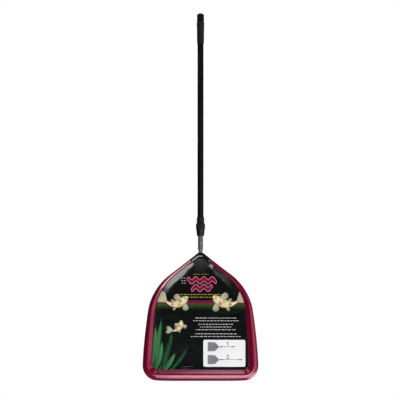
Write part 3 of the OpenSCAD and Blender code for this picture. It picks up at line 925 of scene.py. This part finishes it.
    # back fin, gill lines and eyes
    back = [at(0.36 + 0.36 * k / 8, (0.014 if 0 < k < 8 else 0.0)) for k in range(9)]
    back += [at(0.36 + 0.36 * k / 8, -0.006) for k in range(8, -1, -1)]
    add([px(*q) for q in back], lambda q: np.tile(col(214, 206, 168), (len(q), 1)))
    for side in (1, -1):
        gill = [at(0.19 + 0.02 * math.sin(math.pi * k / 5), side * (0.012 + 0.050 * k / 5)) for k in range(6)]
        gill += [at(0.20 + 0.02 * math.sin(math.pi * k / 5), side * (0.012 + 0.050 * k / 5)) for k in range(5, -1, -1)]
        add([px(*q) for q in gill], lambda q: np.tile(col(150, 132, 80), (len(q), 1)))
        e = at(0.105, side * 0.047)
        blob(e[0], e[1], 0.011 * length, 0.011 * length, flat_colour(22, 22, 20), 10)


def ripple(cx, cy, rings, colour, tilt=0.62, start=0.0, sweep=2 * math.pi):
    for r, w in rings:
        pts = []
        for k in range(29):
            a = start + sweep * k / 28
            pts.append((cx + (r + w) * math.cos(a), cy + (r + w) * tilt * math.sin(a)))
        for k in range(28, -1, -1):
            a = start + sweep * k / 28
            pts.append((cx + (r - w) * math.cos(a), cy + (r - w) * tilt * math.sin(a)))
        if abs(sweep) < 6.2:
            add([px(*q) for q in pts], colour)
        else:
            half = len(pts) // 2
            for lo_k, hi_k in ((0, 14), (14, 28)):
                arc = pts[lo_k:hi_k + 1] + pts[len(pts) - 1 - hi_k:len(pts) - lo_k]
                add([px(*q) for q in arc], colour)


def wave_ribbon(x0, x1, cy, rise, thick, period, start, colour, grow=0.0):
    """A waving ribbon, thick * 2 deep, that starts on a crest (start 0.5) or in a trough (-0.5);
    grow widens it all round for an outline."""
    top, low = [], []
    n = 144
    for k in range(n + 1):
        x = x0 - grow + (x1 - x0 + 2 * grow) * k / n
        a = 2 * math.pi * (x - x0) / period + math.pi * start
        y, dy = cy - rise * math.sin(a), -rise * math.cos(a) * 2 * math.pi / period
        r = thick + grow
        d = min(x - x0, x1 - x) + grow
        h = math.sqrt(max(0.004, r * r - max(0.0, r - d) ** 2)) * (thick + grow * math.hypot(1, dy)) / r
        top.append((x, y - h))
        low.append((x, y + h))
    for k in range(0, n, 6):
        add([px(*q) for q in top[k:k + 7] + low[k:k + 7][::-1]], colour)


def artwork():
    dusk = col(10, 11, 12)
    left, right = 150.0, 251.0

    def band(y0, y1, top, bottom):
        n = 12
        pts = [px(left + (right - left) * k / n, y0) for k in range(n + 1)]
        pts += [px(right - (right - left) * k / n, y1) for k in range(n + 1)]
        z0, z1 = px(0, y0)[1], px(0, y1)[1]

        def colour(q):
            w = np.clip((q[:, 1] - z0) / (z1 - z0), 0, 1)[:, None]
            return top + (bottom - top) * w
        add(pts, colour)
    # painted reflection: a soft grey sheen drawn into the print at the top, fading downwards
    painted_sheen = col(84, 76, 75) * 0.9
    arc = [px(200.5 + 13.0 * math.cos(t), 251.0 + 25.5 * math.sin(t)) for t in (math.pi * i / 30 for i in range(31))]
    o = px(200.5, 251.0)

    def painted_sheen_fade(q):
        w = np.hypot((q[:, 0] - o[0]) / (13.0 * 3.15), (q[:, 1] - o[1]) / (25.5 * 3.15))
        w = np.clip(1.12 - 1.12 * w, 0, 1)[:, None]
        return dusk + (painted_sheen - dusk) * w ** 1.5
    add(arc, painted_sheen_fade)
    # a maroon stripe, and under it a soft green one
    band(300.6, 303.4, col(132, 26, 60), col(104, 16, 48))
    band(303.4, 305.6, col(66, 84, 40), col(50, 66, 34))
    band(305.6, 309.4, col(50, 66, 34), dusk)
    # rings on the water
    faint = flat_colour(38, 46, 42)
    ripple(168.0, 322.0, ((13.5, 0.22), (10.6, 0.18), (7.9, 0.15)), faint, 0.5)
    ripple(228.5, 304.5, ((17.5, 0.20), (14.4, 0.16)), flat_colour(52, 62, 50), 0.5, 0.2, 2.4)
    ripple(190.0, 349.5, ((9.2, 0.18), (6.6, 0.15)), faint, 0.5)
    # reeds, from the lower left corner
    deep, mid, lit = col(10, 44, 28), col(22, 84, 50), col(74, 146, 88)
    rib = col(112, 170, 110)
    for root, tip_at, bow, width, c0, c1 in (
            ((150.5, 366.0), (150.9, 312.5), -2.4, 2.0, deep * 0.7, mid * 0.6),
            ((157.5, 374.5), (169.5, 329.5), 3.0, 2.3, deep * 0.7, mid * 0.7),
            ((152.0, 372.0), (158.0, 317.0), 3.4, 2.7, deep, mid),
            ((166.0, 375.0), (184.5, 345.5), 3.6, 2.1, deep * 0.8, mid * 0.85),
            ((155.0, 374.0), (163.8, 322.5), -2.8, 2.6, mid * 0.7, lit * 0.8),
            ((161.5, 375.5), (176.0, 337.0), -3.2, 2.6, deep, mid),
            ((151.0, 370.0), (153.4, 326.0), 2.2, 2.4, mid * 0.6, lit * 0.9),
            ((160.0, 375.0), (172.6, 351.5), 2.8, 2.4, mid * 0.7, lit),
            ((153.5, 374.0), (160.0, 341.5), 2.4, 2.7, mid * 0.6, lit)):
        blade(root, tip_at, bow, width, c0, c1, deep, rib)
    # heading place: two waving ribbons, maroon with a pink edge
    for x0, x1, y, start in ((187.6, 216.2, 280.3, 0.5), (191.685, 212.11, 288.0, -0.5)):
        wave_ribbon(x0, x1, y, 1.5, 1.85, 8.171, start, flat_colour(216, 122, 150), 0.62)
        wave_ribbon(x0, x1, y, 1.5, 1.85, 8.171, start, flat_colour(124, 18, 54))
    # rows of plain dashes where the print has its lines
    g = random.Random(23)

    def dashes(x0, x1, y, h, colour, lo=1.0, hi=3.6, gap=0.65):
        x = x0
        while x < x1 - 0.8:
            w = min(g.uniform(lo, hi), x1 - x)
            if x1 - (x + w) < 1.0:
                w = x1 - x
            bar(x, x + w, y, h, colour)
            x += w + gap
    pale = flat_colour(214, 210, 210)
    for x0, x1, y in ((195.2, 236.3, 318.0), (193.0, 238.5, 320.8), (198.3, 233.1, 324.3), (200.0, 231.3, 327.0),
                      (196.0, 235.8, 329.7), (195.2, 236.7, 333.8), (190.7, 240.7, 336.5)):
        dashes(x0, x1, y, 0.62, pale)
    gold = flat_colour(176, 168, 74)
    dashes(176.0, 222.9, 294.5, 0.66, gold)
    dashes(184.7, 217.0, 297.2, 0.66, gold)
    dashes(193.4, 208.6, 274.3, 0.62, flat_colour(150, 140, 70), 1.0, 2.4)
    for y in (278.2, 280.7, 283.2):
        dashes(181.2, 186.0, y, 0.62, flat_colour(168, 168, 170), 1.2, 2.4, 0.5)
    for x0, x1, y in ((181.5, 193.5, 366.3), (181.5, 190.0, 368.0)):
        dashes(x0, x1, y, 0.42, flat_colour(96, 94, 94), 0.8, 2.2, 0.5)
    # three pale carp
    fish(178.0, 303.6, 35.0, math.radians(-24), 1.0, 4)
    fish(224.0, 303.4, 39.0, math.radians(203), -0.9, 9)
    fish(179.5, 327.5, 22.0, math.radians(-62), 1.1, 6)
    # white panel with two plain pictures of the net, pole in and pole out
    rounded(203.3, 339.8, 245.3, 366.7, 1.7, flat_colour(245, 245, 246))
    grey, ink, soft = flat_colour(150, 152, 156), flat_colour(60, 62, 66), flat_colour(176, 178, 182)
    hatch = flat_colour(118, 121, 126)
    for top, reach in ((341.9, 234.5), (354.8, 241.8)):
        x0, x1, cy = 207.6, 215.0, top + 4.8
        net_poly = [(x0 + 0.8, top), (x1, top + 0.3), (x1 + 4.6, cy), (x1, top + 9.3), (x0 + 0.8, top + 9.6),
                    (x0, top + 8.6), (x0, top + 1.0)]
        add([px(*p) for p in net_poly], grey)
        inner = [(x0 + 1.0, top + 1.2), (x1 - 0.2, top + 1.3), (x1 + 3.0, cy), (x1 - 0.2, top + 8.3),
                 (x0 + 1.0, top + 8.4)]
        add([px(*p) for p in inner], hatch)
        for k in range(1, 7):
            stroke([(x0 + 1.0 + k * 1.05, top + 1.5), (x0 + 1.0 + k * 1.05, top + 8.1)], 0.16, grey)
        for k in range(1, 6):
            stroke([(x0 + 1.2, top + 1.3 + k * 1.15), (x1, top + 1.3 + k * 1.15)], 0.16, grey)
        stroke([(x1 + 4.3, cy), (reach, cy)], 0.42, ink)
        stroke([(reach - 3.0, cy), (reach, cy)], 0.95, ink)
        stroke([(x1 + 5.5, cy), (x1 + 7.2, cy)], 1.0, ink)
        stroke([(x1 + 4.6, cy + 2.5), (reach, cy + 2.5)], 0.18, soft)
        for x in (x1 + 4.6, reach):
            stroke([(x, cy + 1.9), (x, cy + 3.1)], 0.22, soft)
    stroke([(226.9, 342.9), (227.9, 342.0), (227.9, 345.2)], 0.60, ink)
    two = [(226.9 + 1.05 * math.cos(t) + 0.9, 355.8 + 1.0 * math.sin(t)) for t in
           [math.radians(a) for a in (-170, -135, -90, -45, 0, 40)]]
    stroke(two + [(226.6, 358.4), (229.0, 358.4)], 0.55, ink)


artwork()


def inside(poly, pts):
    """Which of the points lie in the polygon."""
    x, z = pts[:, 0], pts[:, 1]
    hit = np.zeros(len(pts), dtype=bool)
    lo, hi = poly.min(axis=0), poly.max(axis=0)
    near = (x >= lo[0]) & (x <= hi[0]) & (z >= lo[1]) & (z <= hi[1])
    if not near.any():
        return hit
    xn, zn = x[near], z[near]
    got = np.zeros(len(xn), dtype=bool)
    a = poly
    b = np.roll(poly, -1, axis=0)
    for (x0, z0), (x1, z1) in zip(a, b):
        if z0 == z1:
            continue
        cross = (z0 > zn) != (z1 > zn)
        got ^= cross & (xn < (x1 - x0) * (zn - z0) / (z1 - z0) + x0)
    hit[near] = got
    return hit


def to_edge(pts, line):
    """Distance from each point to the polyline."""
    best = np.full(len(pts), 1e9)
    for a, b in zip(line, line[1:]):
        d = b - a
        w = np.clip(((pts - a) @ d) / max(float(d @ d), 1e-12), 0, 1)
        best = np.minimum(best, np.linalg.norm(pts - (a + w[:, None] * d), axis=1))
    return best


RIGHT_EDGE = np.array([tip] + [q for q, s in zip(card_right, card_ss) if s < S_CORNER + 22])
LEFT_EDGE = RIGHT_EDGE * np.array([-1.0, 1.0])
FOOT_Z = card_right[-1][1]


def card_y(pts):
    """The card's front: sprung into its seat, its middle a little deeper than its edges."""
    z = pts[:, 1]
    y = Y_CARD + np.interp(z, (-1110, -1085, -960, -870, -815, -768), (0.0, 0.4, 0.9, 2.6, 2.6, 0.1))
    # most at the shoulders, where the card is wider than its seat: the flank leans up
    # evenly over its outer 15 mm and eases into the flat over the next 12, less at the top
    high = np.interp(z, (-1110, -960, -915, -860, -770, -760), (0.3, 0.36, 0.75, 1.0, 1.0, 0.45))
    wide, soft = np.interp(z, (-815, -768), (15.0, 5.0)), np.interp(z, (-815, -768), (12.0, 4.0))
    both = np.zeros(len(pts))
    for line, share in ((RIGHT_EDGE, 0.9), (LEFT_EDGE, 1.0)):
        d = np.minimum(to_edge(pts, line), wide + soft)
        both += (share * np.where(d < wide, wide + soft / 2 - d, (wide + soft - d) ** 2 / (2 * soft))) ** 3
    y -= high * 0.180 * both ** (1 / 3)
    w = np.clip(1 - (pts[:, 1] - FOOT_Z) / 26.0, 0, 1)
    y -= 1.2 * w * w
    # a slight bow, and the slow unevenness of a laminated sheet
    y += 2.2 * np.exp(-((pts[:, 0] / 85) ** 2 + ((pts[:, 1] + 985) / 110) ** 2))
    y += 0.08 * np.sin(pts[:, 0] / 31.0 + 0.6) * np.sin(pts[:, 1] / 43.0)
    return y


def printed_card():
    lo, hi = OUTLINE.min(axis=0), OUTLINE.max(axis=0)
    polys = [OUTLINE] + [p for p, _ in ART]
    holes = []
    for x in (-3.0, 3.0):
        holes.append(np.array([[x + 0.9 * math.cos(t), Z_HINGE + 0.9 * math.sin(t)]
                               for t in (2 * math.pi * k / 12 for k in range(12))]))
    polys += holes
    verts, edges = [], []
    for p in polys:
        base = len(verts)
        verts += [tuple(q) for q in p]
        edges += [(base + k, base + (k + 1) % len(p)) for k in range(len(p))]
    step = 4.2
    gx = np.arange(lo[0] + 1.3, hi[0], step)
    gz = np.arange(lo[1] + 1.1, hi[1], step)
    grid = np.array([(x + (0.5 * step if j % 2 else 0.0), z) for j, z in enumerate(gz) for x in gx])
    keep = inside(OUTLINE, grid) & (to_edge(grid, np.vstack([OUTLINE, OUTLINE[:1]])) > 1.2)
    verts += [tuple(q) for q in grid[keep]]
    co, _, tris, _, _, _ = geometry.delaunay_2d_cdt(verts, edges, [], 0, 1e-4)
    co = np.array([(c[0], c[1]) for c in co])
    tris = np.array([t for t in tris if len(t) == 3])
    mid = co[tris].mean(axis=1)
    ok = inside(OUTLINE, mid)
    for h in holes:
        ok &= ~inside(h, mid)
    a, b, c = co[tris[:, 0]], co[tris[:, 1]], co[tris[:, 2]]
    area = 0.5 * ((b[:, 0] - a[:, 0]) * (c[:, 1] - a[:, 1]) - (b[:, 1] - a[:, 1]) * (c[:, 0] - a[:, 0]))
    ok &= np.abs(area) > 1e-7
    tris, mid, area = tris[ok], mid[ok], area[ok]
    flip = area < 0
    tris[flip] = tris[flip][:, ::-1]
    used = np.unique(tris)
    remap = -np.ones(len(co), dtype=int)
    remap[used] = np.arange(len(used))
    co, tris = co[used], remap[tris]
    n = len(co)
    # colour at each corner: the topmost shape that holds the triangle
    corner = co[tris].reshape(-1, 2)
    shade = np.tile(np.array(rgb(10, 11, 12)[:3]), (len(corner), 1))
    kind = np.zeros(len(tris), dtype=int)
    for poly, colour in ART:
        inn = inside(poly, mid)
        if inn.any():
            rep3 = np.repeat(inn, 3)
            shade[rep3] = colour(corner[rep3])
            kind[inn] = 1
    y = card_y(co)
    front = np.stack([co[:, 0], y, co[:, 1]], axis=1)
    back = front + np.array([0.0, CARD_T, 0.0])
    pts = np.vstack([front, back])
    # seen from the mouth (-Y) with x right and z up, anticlockwise triangles face the mouth
    faces = [tuple(t) for t in tris] + [tuple(int(i) + n for i in reversed(t)) for t in tris]
    seen = {}
    for t in tris:
        for k in range(3):
            e = (int(t[k]), int(t[(k + 1) % 3]))
            seen[e] = seen.get(e, 0) + 1
    rim_edges = [e for e in seen if (e[1], e[0]) not in seen]
    faces += [(b, a, a + n, b + n) for a, b in rim_edges]
    return pts, faces, shade, len(tris), len(rim_edges)


def card_material():
    m = Mat("card_print")
    att = m.node("ShaderNodeAttribute", attribute_name="ink")
    screen = m.noise(1900.0, 2.0, 0.5)
    cloud = m.noise(14.0, 4.0)
    ink = m.mix(m.span(screen, 0.0, 0.5, 0.35, 0.65), att.outputs["Color"], (0.84, 0.84, 0.84, 1.0), "MULTIPLY")
    ink = m.mix(m.span(cloud, 0.0, 0.05, 0.35, 0.65), ink, (0.05, 0.054, 0.06, 1.0), "ADD")
    m.put(Base_Color=ink, Roughness=m.span(m.noise(55.0, 4.0), 0.10, 0.15, 0.3, 0.7),
          Specular_IOR_Level=0.5, Coat_Weight=0.5, Coat_Roughness=0.05,
          Normal=m.bump(m.noise(90.0, 3.0), 0.05, 0.0002))
    return m.m


def board_material():
    m = Mat("card_board")
    fibre = m.noise(420.0, 5.0, 0.7, (1.0, 1.0, 0.35))
    speck = m.noise(1300.0, 2.0)
    m.put(Base_Color=m.mix(m.span(speck, 0.0, 0.35, 0.58, 0.72),
                           m.ramp(fibre, [(0.3, rgb(150, 149, 145)), (0.7, rgb(182, 181, 176))]),
                           rgb(112, 108, 102)),
          Roughness=m.span(fibre, 0.6, 0.78, 0.3, 0.7), Specular_IOR_Level=0.35,
          Normal=m.bump(fibre, 0.3, 0.00012))
    return m.m


INK = 1.0         # how much of the light full ink gives back
v, f, shade, n_front, n_rim = printed_card()
card = piece("display_card_sheet", v, f, [card_material(), board_material()], "card", sharp=35)
me = card.data
layer = me.color_attributes.new("ink", "FLOAT_COLOR", "CORNER")
values = np.ones((len(me.loops), 4))
values[:, :3] = np.array(rgb(150, 149, 145)[:3])
index = np.zeros(len(me.polygons), dtype=int)
if len(me.polygons) == len(f):
    values[:3 * n_front, :3] = INK * shade
    index[n_front:] = 1
layer.data.foreach_set("color", values.ravel())
me.polygons.foreach_set("material_index", index)


def sheet_normals(q):
    """The front's normals from the sheet's own curve, so the print's outlines don't show in the shine."""
    edge = np.minimum(to_edge(q, RIGHT_EDGE), to_edge(q, LEFT_EDGE))
    inward = np.array([0.0, -950.0]) - q
    inward /= np.linalg.norm(inward, axis=1)[:, None]
    q = q + inward * np.clip(1.6 - edge, 0, 1.6)[:, None]
    h = np.clip(0.8 * edge, 0.4, 5.0)[:, None]
    ex, ez = h * np.array([1.0, 0.0]), h * np.array([0.0, 1.0])
    fx = (card_y(q + ex) - card_y(q - ex)) / (2 * h[:, 0])
    fz = (card_y(q + ez) - card_y(q - ez)) / (2 * h[:, 0])
    n = np.stack([fx, -np.ones(len(q)), fz], axis=1)
    return n / np.linalg.norm(n, axis=1)[:, None]


if len(me.polygons) == len(f):
    half = len(v) // 2
    front_n = sheet_normals(np.asarray(v)[:half, [0, 2]])
    at_vertex = np.zeros(len(me.loops), dtype=int)
    me.loops.foreach_get("vertex_index", at_vertex)
    face_n = np.zeros(3 * len(me.polygons))
    me.polygons.foreach_get("normal", face_n)
    loop_n = np.zeros((len(me.loops), 3))
    k = 3 * n_front
    loop_n[:k] = front_n[at_vertex[:k]]
    loop_n[k:2 * k] = -front_n[at_vertex[k:2 * k] - half]
    loop_n[2 * k:] = np.repeat(face_n.reshape(-1, 3)[2 * n_front:], 4, axis=0)
    me.normals_split_custom_set(loop_n.tolist())
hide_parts("display_card")


# ------------------------------------------------------------------ tag pins
def turned(profile, sides=16):
    """Rings of a turned shape: profile is [(radius, height)]."""
    return [[(r * math.cos(t), r * math.sin(t), h) for t in (2 * math.pi * k / sides for k in range(sides))]
            for r, h in profile]


def capsule(length, r, bend=0.0):
    prof = []
    for k in range(6):
        a = math.pi / 2 * k / 5
        prof.append((max(0.02, r * math.sin(a)), -length / 2 + r - r * math.cos(a)))
    prof += [(r, -length / 4), (r, 0.0), (r, length / 4)]
    for k in range(5, -1, -1):
        a = math.pi / 2 * k / 5
        prof.append((max(0.02, r * math.sin(a)), length / 2 - r + r * math.cos(a)))
    return loft(turned(prof, 14))


def tags():
    verts, faces = [], []
    seat = float(card_y(np.array([[3.0, Z_HINGE]]))[0])
    for x in (-3.0, 3.0):
        for y, length, r in ((seat - 0.62, 4.4, 0.52), (1.7, 3.4, 0.5)):
            v, f = capsule(length, r)
            base = len(verts)
            verts += [(x + p[0], y + p[1], Z_HINGE + p[2]) for p in v]
            faces += [tuple(i + base for i in q) for q in f]
        prof = [(0.55, seat - 0.5), (0.36, seat - 0.1), (0.34, seat + 1.0), (0.34, 0.0), (0.36, 1.2), (0.5, 1.6)]
        v, f = loft(turned(prof, 12))
        base = len(verts)
        verts += [(x + p[0], p[2], Z_HINGE - p[1]) for p in v]
        faces += [tuple(i + base for i in q) for q in f]
    return verts, faces


def tag_material():
    m = Mat("tag_nylon")
    n = m.noise(300.0, 3.0)
    m.put(Base_Color=m.ramp(n, [(0.3, rgb(24, 24, 26)), (0.7, rgb(40, 40, 44))]),
          Roughness=m.span(n, 0.3, 0.45, 0.3, 0.7), Normal=m.bump(n, 0.1, 0.00005))
    return m.m


v, f = tags()
tag = piece("card_tag_pins", v, f, tag_material(), "card", sharp=40)
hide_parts("card_ties")


# --------------------------------------------- materials of the CAD's own pieces
def tube_paint():
    m = Mat("tube_powder_coat")
    peel = m.noise(420.0, 2.0, 0.5)
    cloud = m.noise(16.0, 4.0, 0.6, (1.0, 1.0, 0.3))
    wear = m.noise(90.0, 6.0, 0.7, (1.0, 1.0, 0.12))
    m.put(Base_Color=m.mix(m.span(wear, 0.0, 0.5, 0.62, 0.80),
                           m.ramp(cloud, [(0.3, rgb(7, 9, 8)), (0.7, rgb(13, 15, 14))]), rgb(26, 28, 27)),
          Roughness=m.span(m.noise(50.0, 4.0), 0.34, 0.46, 0.3, 0.7), Specular_IOR_Level=0.2,
          Normal=m.bump(peel, 0.14, 0.00008))
    return m.m


def rubber_material():
    m = Mat("grip_rubber")
    grain = m.node("ShaderNodeTexVoronoi", Scale=700.0)
    m.link(m.coords(), grain.inputs["Vector"])
    fine = m.noise(1600.0, 3.0)
    cloud = m.noise(40.0, 4.0)
    height = m.math("ADD", m.math("MULTIPLY", grain.outputs["Distance"], 0.7), m.math("MULTIPLY", fine, 0.3))
    m.put(Base_Color=m.ramp(m.math("ADD", m.math("MULTIPLY", cloud, 0.7), m.math("MULTIPLY", fine, 0.3)),
                            [(0.34, rgb(14, 16, 16)), (0.68, rgb(25, 27, 28))]),
          Roughness=m.span(cloud, 0.5, 0.66, 0.3, 0.7), Specular_IOR_Level=0.3,
          Normal=m.bump(height, 0.3, 0.00015))
    return m.m


def set_material(node, mat):
    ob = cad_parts[node]
    if not ob.data.materials:
        ob.data.materials.append(mat)
    for k in range(len(ob.data.materials)):
        ob.data.materials[k] = mat
    for s in ob.material_slots:
        s.material = mat


lock_mat = plastic("lock_nylon", rgb(14, 16, 17), rgb(25, 28, 30), (0.34, 0.46), 650, 0.16, level=0.35)
set_material("end_cap", plastic("cap_vinyl", rgb(6, 7, 8), rgb(13, 14, 16), (0.36, 0.46), 500, 0.12, level=0.22))
set_material("grip", rubber_material())
set_material("outer_tube", tube_paint())
set_material("lock_base", lock_mat)
set_material("lock_nut", plastic("nut_nylon", rgb(15, 17, 18), rgb(26, 29, 31), (0.34, 0.48), 650, 0.18, level=0.35))
natural = plastic("nylon_natural", rgb(208, 202, 184), rgb(226, 220, 204), (0.35, 0.5), 500, 0.1)
set_material("collet", natural)
set_material("guide_bush", natural)
set_material("lock_ring", metal("ring_zinc", rgb(160, 162, 166), rgb(196, 198, 202), (0.3, 0.45)))
set_material("tube_top_plug", plastic("plug_black", rgb(22, 22, 24), rgb(34, 34, 37), (0.4, 0.55), 500, 0.12))
set_material("inner_tube", metal("tube_anodised", rgb(84, 85, 91), rgb(104, 104, 112), (0.36, 0.5),
                                 (1.0, 1.0, 0.04), 700.0, metallic=0.35))
set_material("neck_plug", plastic("plug_grey", rgb(84, 84, 88), rgb(102, 102, 106), (0.4, 0.55), 500, 0.12))
set_material("neck_rivet", metal("rivet_bright", rgb(132, 132, 140), rgb(160, 160, 168), (0.38, 0.48), scale=900.0, depth=0.000008))
set_material("yoke_screw", metal("screw_zinc", rgb(150, 152, 158), rgb(190, 192, 198), (0.25, 0.4)))


# ----------------------------------------------------------------- stage and light
def floor():
    n = 96
    rings = []
    for r, z in ((20, 0.0), (1500, 0.0), (4000, 0.0), (8700, 0.0), (8760, -8.0), (8760, -40.0)):
        rings.append([(r * math.cos(t), r * math.sin(t), -3400.0 + z) for t in
                      (2 * math.pi * k / n for k in range(n))])
    v, f = loft(rings)
    me = bpy.data.meshes.new("studio_floor")
    me.from_pydata((np.array(v) * MM).tolist(), [], f)
    ob = bpy.data.objects.new("studio_floor", me)
    scene.collection.objects.link(ob)
    m = Mat("floor_pale")
    n1 = m.noise(1.4, 3.0)
    m.put(Base_Color=m.ramp(n1, [(0.3, (0.90, 0.90, 0.91, 1)), (0.7, (0.94, 0.94, 0.95, 1))]), Roughness=0.8)
    me.materials.append(m.m)
    ob.visible_diffuse = ob.visible_glossy = False


floor()


def softbox(name, way, far, size, radiance, aim=(0.0, 0.0, -0.95), colour=(1, 1, 1)):
    """A soft light seen from aim in the direction way, so bright to the eye, of that width and height."""
    way = Vector(way).normalized()
    light = bpy.data.lights.new(name, "AREA")
    light.shape = "RECTANGLE"
    light.size, light.size_y = size
    light.energy = radiance * math.pi * size[0] * size[1]
    light.color = colour
    ob = bpy.data.objects.new(name, light)
    scene.collection.objects.link(ob)
    ob.location = Vector(aim) + way * far
    ob.rotation_mode = "QUATERNION"
    ob.rotation_quaternion = way.to_track_quat("Z", "Y")
    ob.visible_camera = False
    return ob


softbox("key_low_right", (0.606, -0.24, -0.76), 2.4, (1.3, 1.3), 7.4)
softbox("fill_low_left", (-0.606, -0.24, -0.76), 2.4, (1.3, 1.3), 0.35)
softbox("low_right_side", (0.85, -0.30, -0.43), 2.4, (1.1, 1.2), 1.0)
softbox("right_side", (0.95, -0.30, 0.05), 2.4, (0.8, 1.6), 0.4)
softbox("right_front", (0.75, -0.65, 0.05), 2.6, (0.7, 1.4), 1.05)
softbox("right_low_front", (0.60, -0.78, -0.15), 2.6, (0.5, 1.2), 2.3)
softbox("low_front", (0.138, -0.892, -0.427), 2.6, (1.52, 0.86), 5.2, (0.0, 0.0, -0.85))
softbox("lower_front", (0.22, -0.70, -0.68), 2.2, (1.5, 0.8), 4.1, (0.0, 0.0, -0.85))
softbox("top_front", (0.25, -0.36, 0.90), 2.6, (1.6, 1.0), 2.9)
softbox("high_left", (-0.50, -0.58, 0.64), 2.4, (0.8, 0.8), 2.4, (0.0, 0.0, -0.80))
softbox("behind_left", (-0.45, 0.72, 0.52), 2.8, (1.4, 1.4), 0.9)
softbox("behind_right", (0.50, 0.70, -0.50), 2.8, (1.4, 1.4), 0.9)
softbox("behind_high", (0.0, 0.62, 0.78), 2.8, (1.6, 1.2), 4.5)
floor_light = softbox("floor_light", (0.0, 0.0, 1.0), 0.0, (30.0, 30.0), 0.82, (0.0, 0.0, -3.05))

world = bpy.data.worlds.new("studio_white")
scene.world = world
world.use_nodes = True
t = world.node_tree
path = t.nodes.new("ShaderNodeLightPath")


def backdrop(strength):
    n = t.nodes.new("ShaderNodeBackground")
    n.inputs["Color"].default_value = (1, 1, 1, 1)
    n.inputs["Strength"].default_value = strength
    return n.outputs["Background"]


def choose(flag, no, yes):
    n = t.nodes.new("ShaderNodeMixShader")
    t.links.new(path.outputs[flag], n.inputs["Fac"])
    t.links.new(no, n.inputs[1])
    t.links.new(yes, n.inputs[2])
    return n.outputs["Shader"]


# white behind, a soft fill on matt surfaces, and dark flats in the reflections
t.links.new(choose("Is Camera Ray", choose("Is Diffuse Ray", backdrop(0.02), backdrop(0.14)), backdrop(1.0)),
            t.nodes["World Output"].inputs["Surface"])
t.nodes.remove(t.nodes["Background"])
if hasattr(world, "cycles"):
    world.cycles.sampling_method = "NONE"

scene.view_settings.view_transform = "Standard"

# ------------------------------------------------------------------------- camera
cam_data = bpy.data.cameras.new("camera")
cam = bpy.data.objects.new("camera", cam_data)
scene.collection.objects.link(cam)
scene.camera = cam
DIST = 4.0
cam.location = (-0.001575, -DIST, -0.5733)
cam.rotation_euler = (math.radians(90), 0, 0)
cam_data.sensor_width = 36.0
cam_data.lens = 36.0 * DIST / 1.26
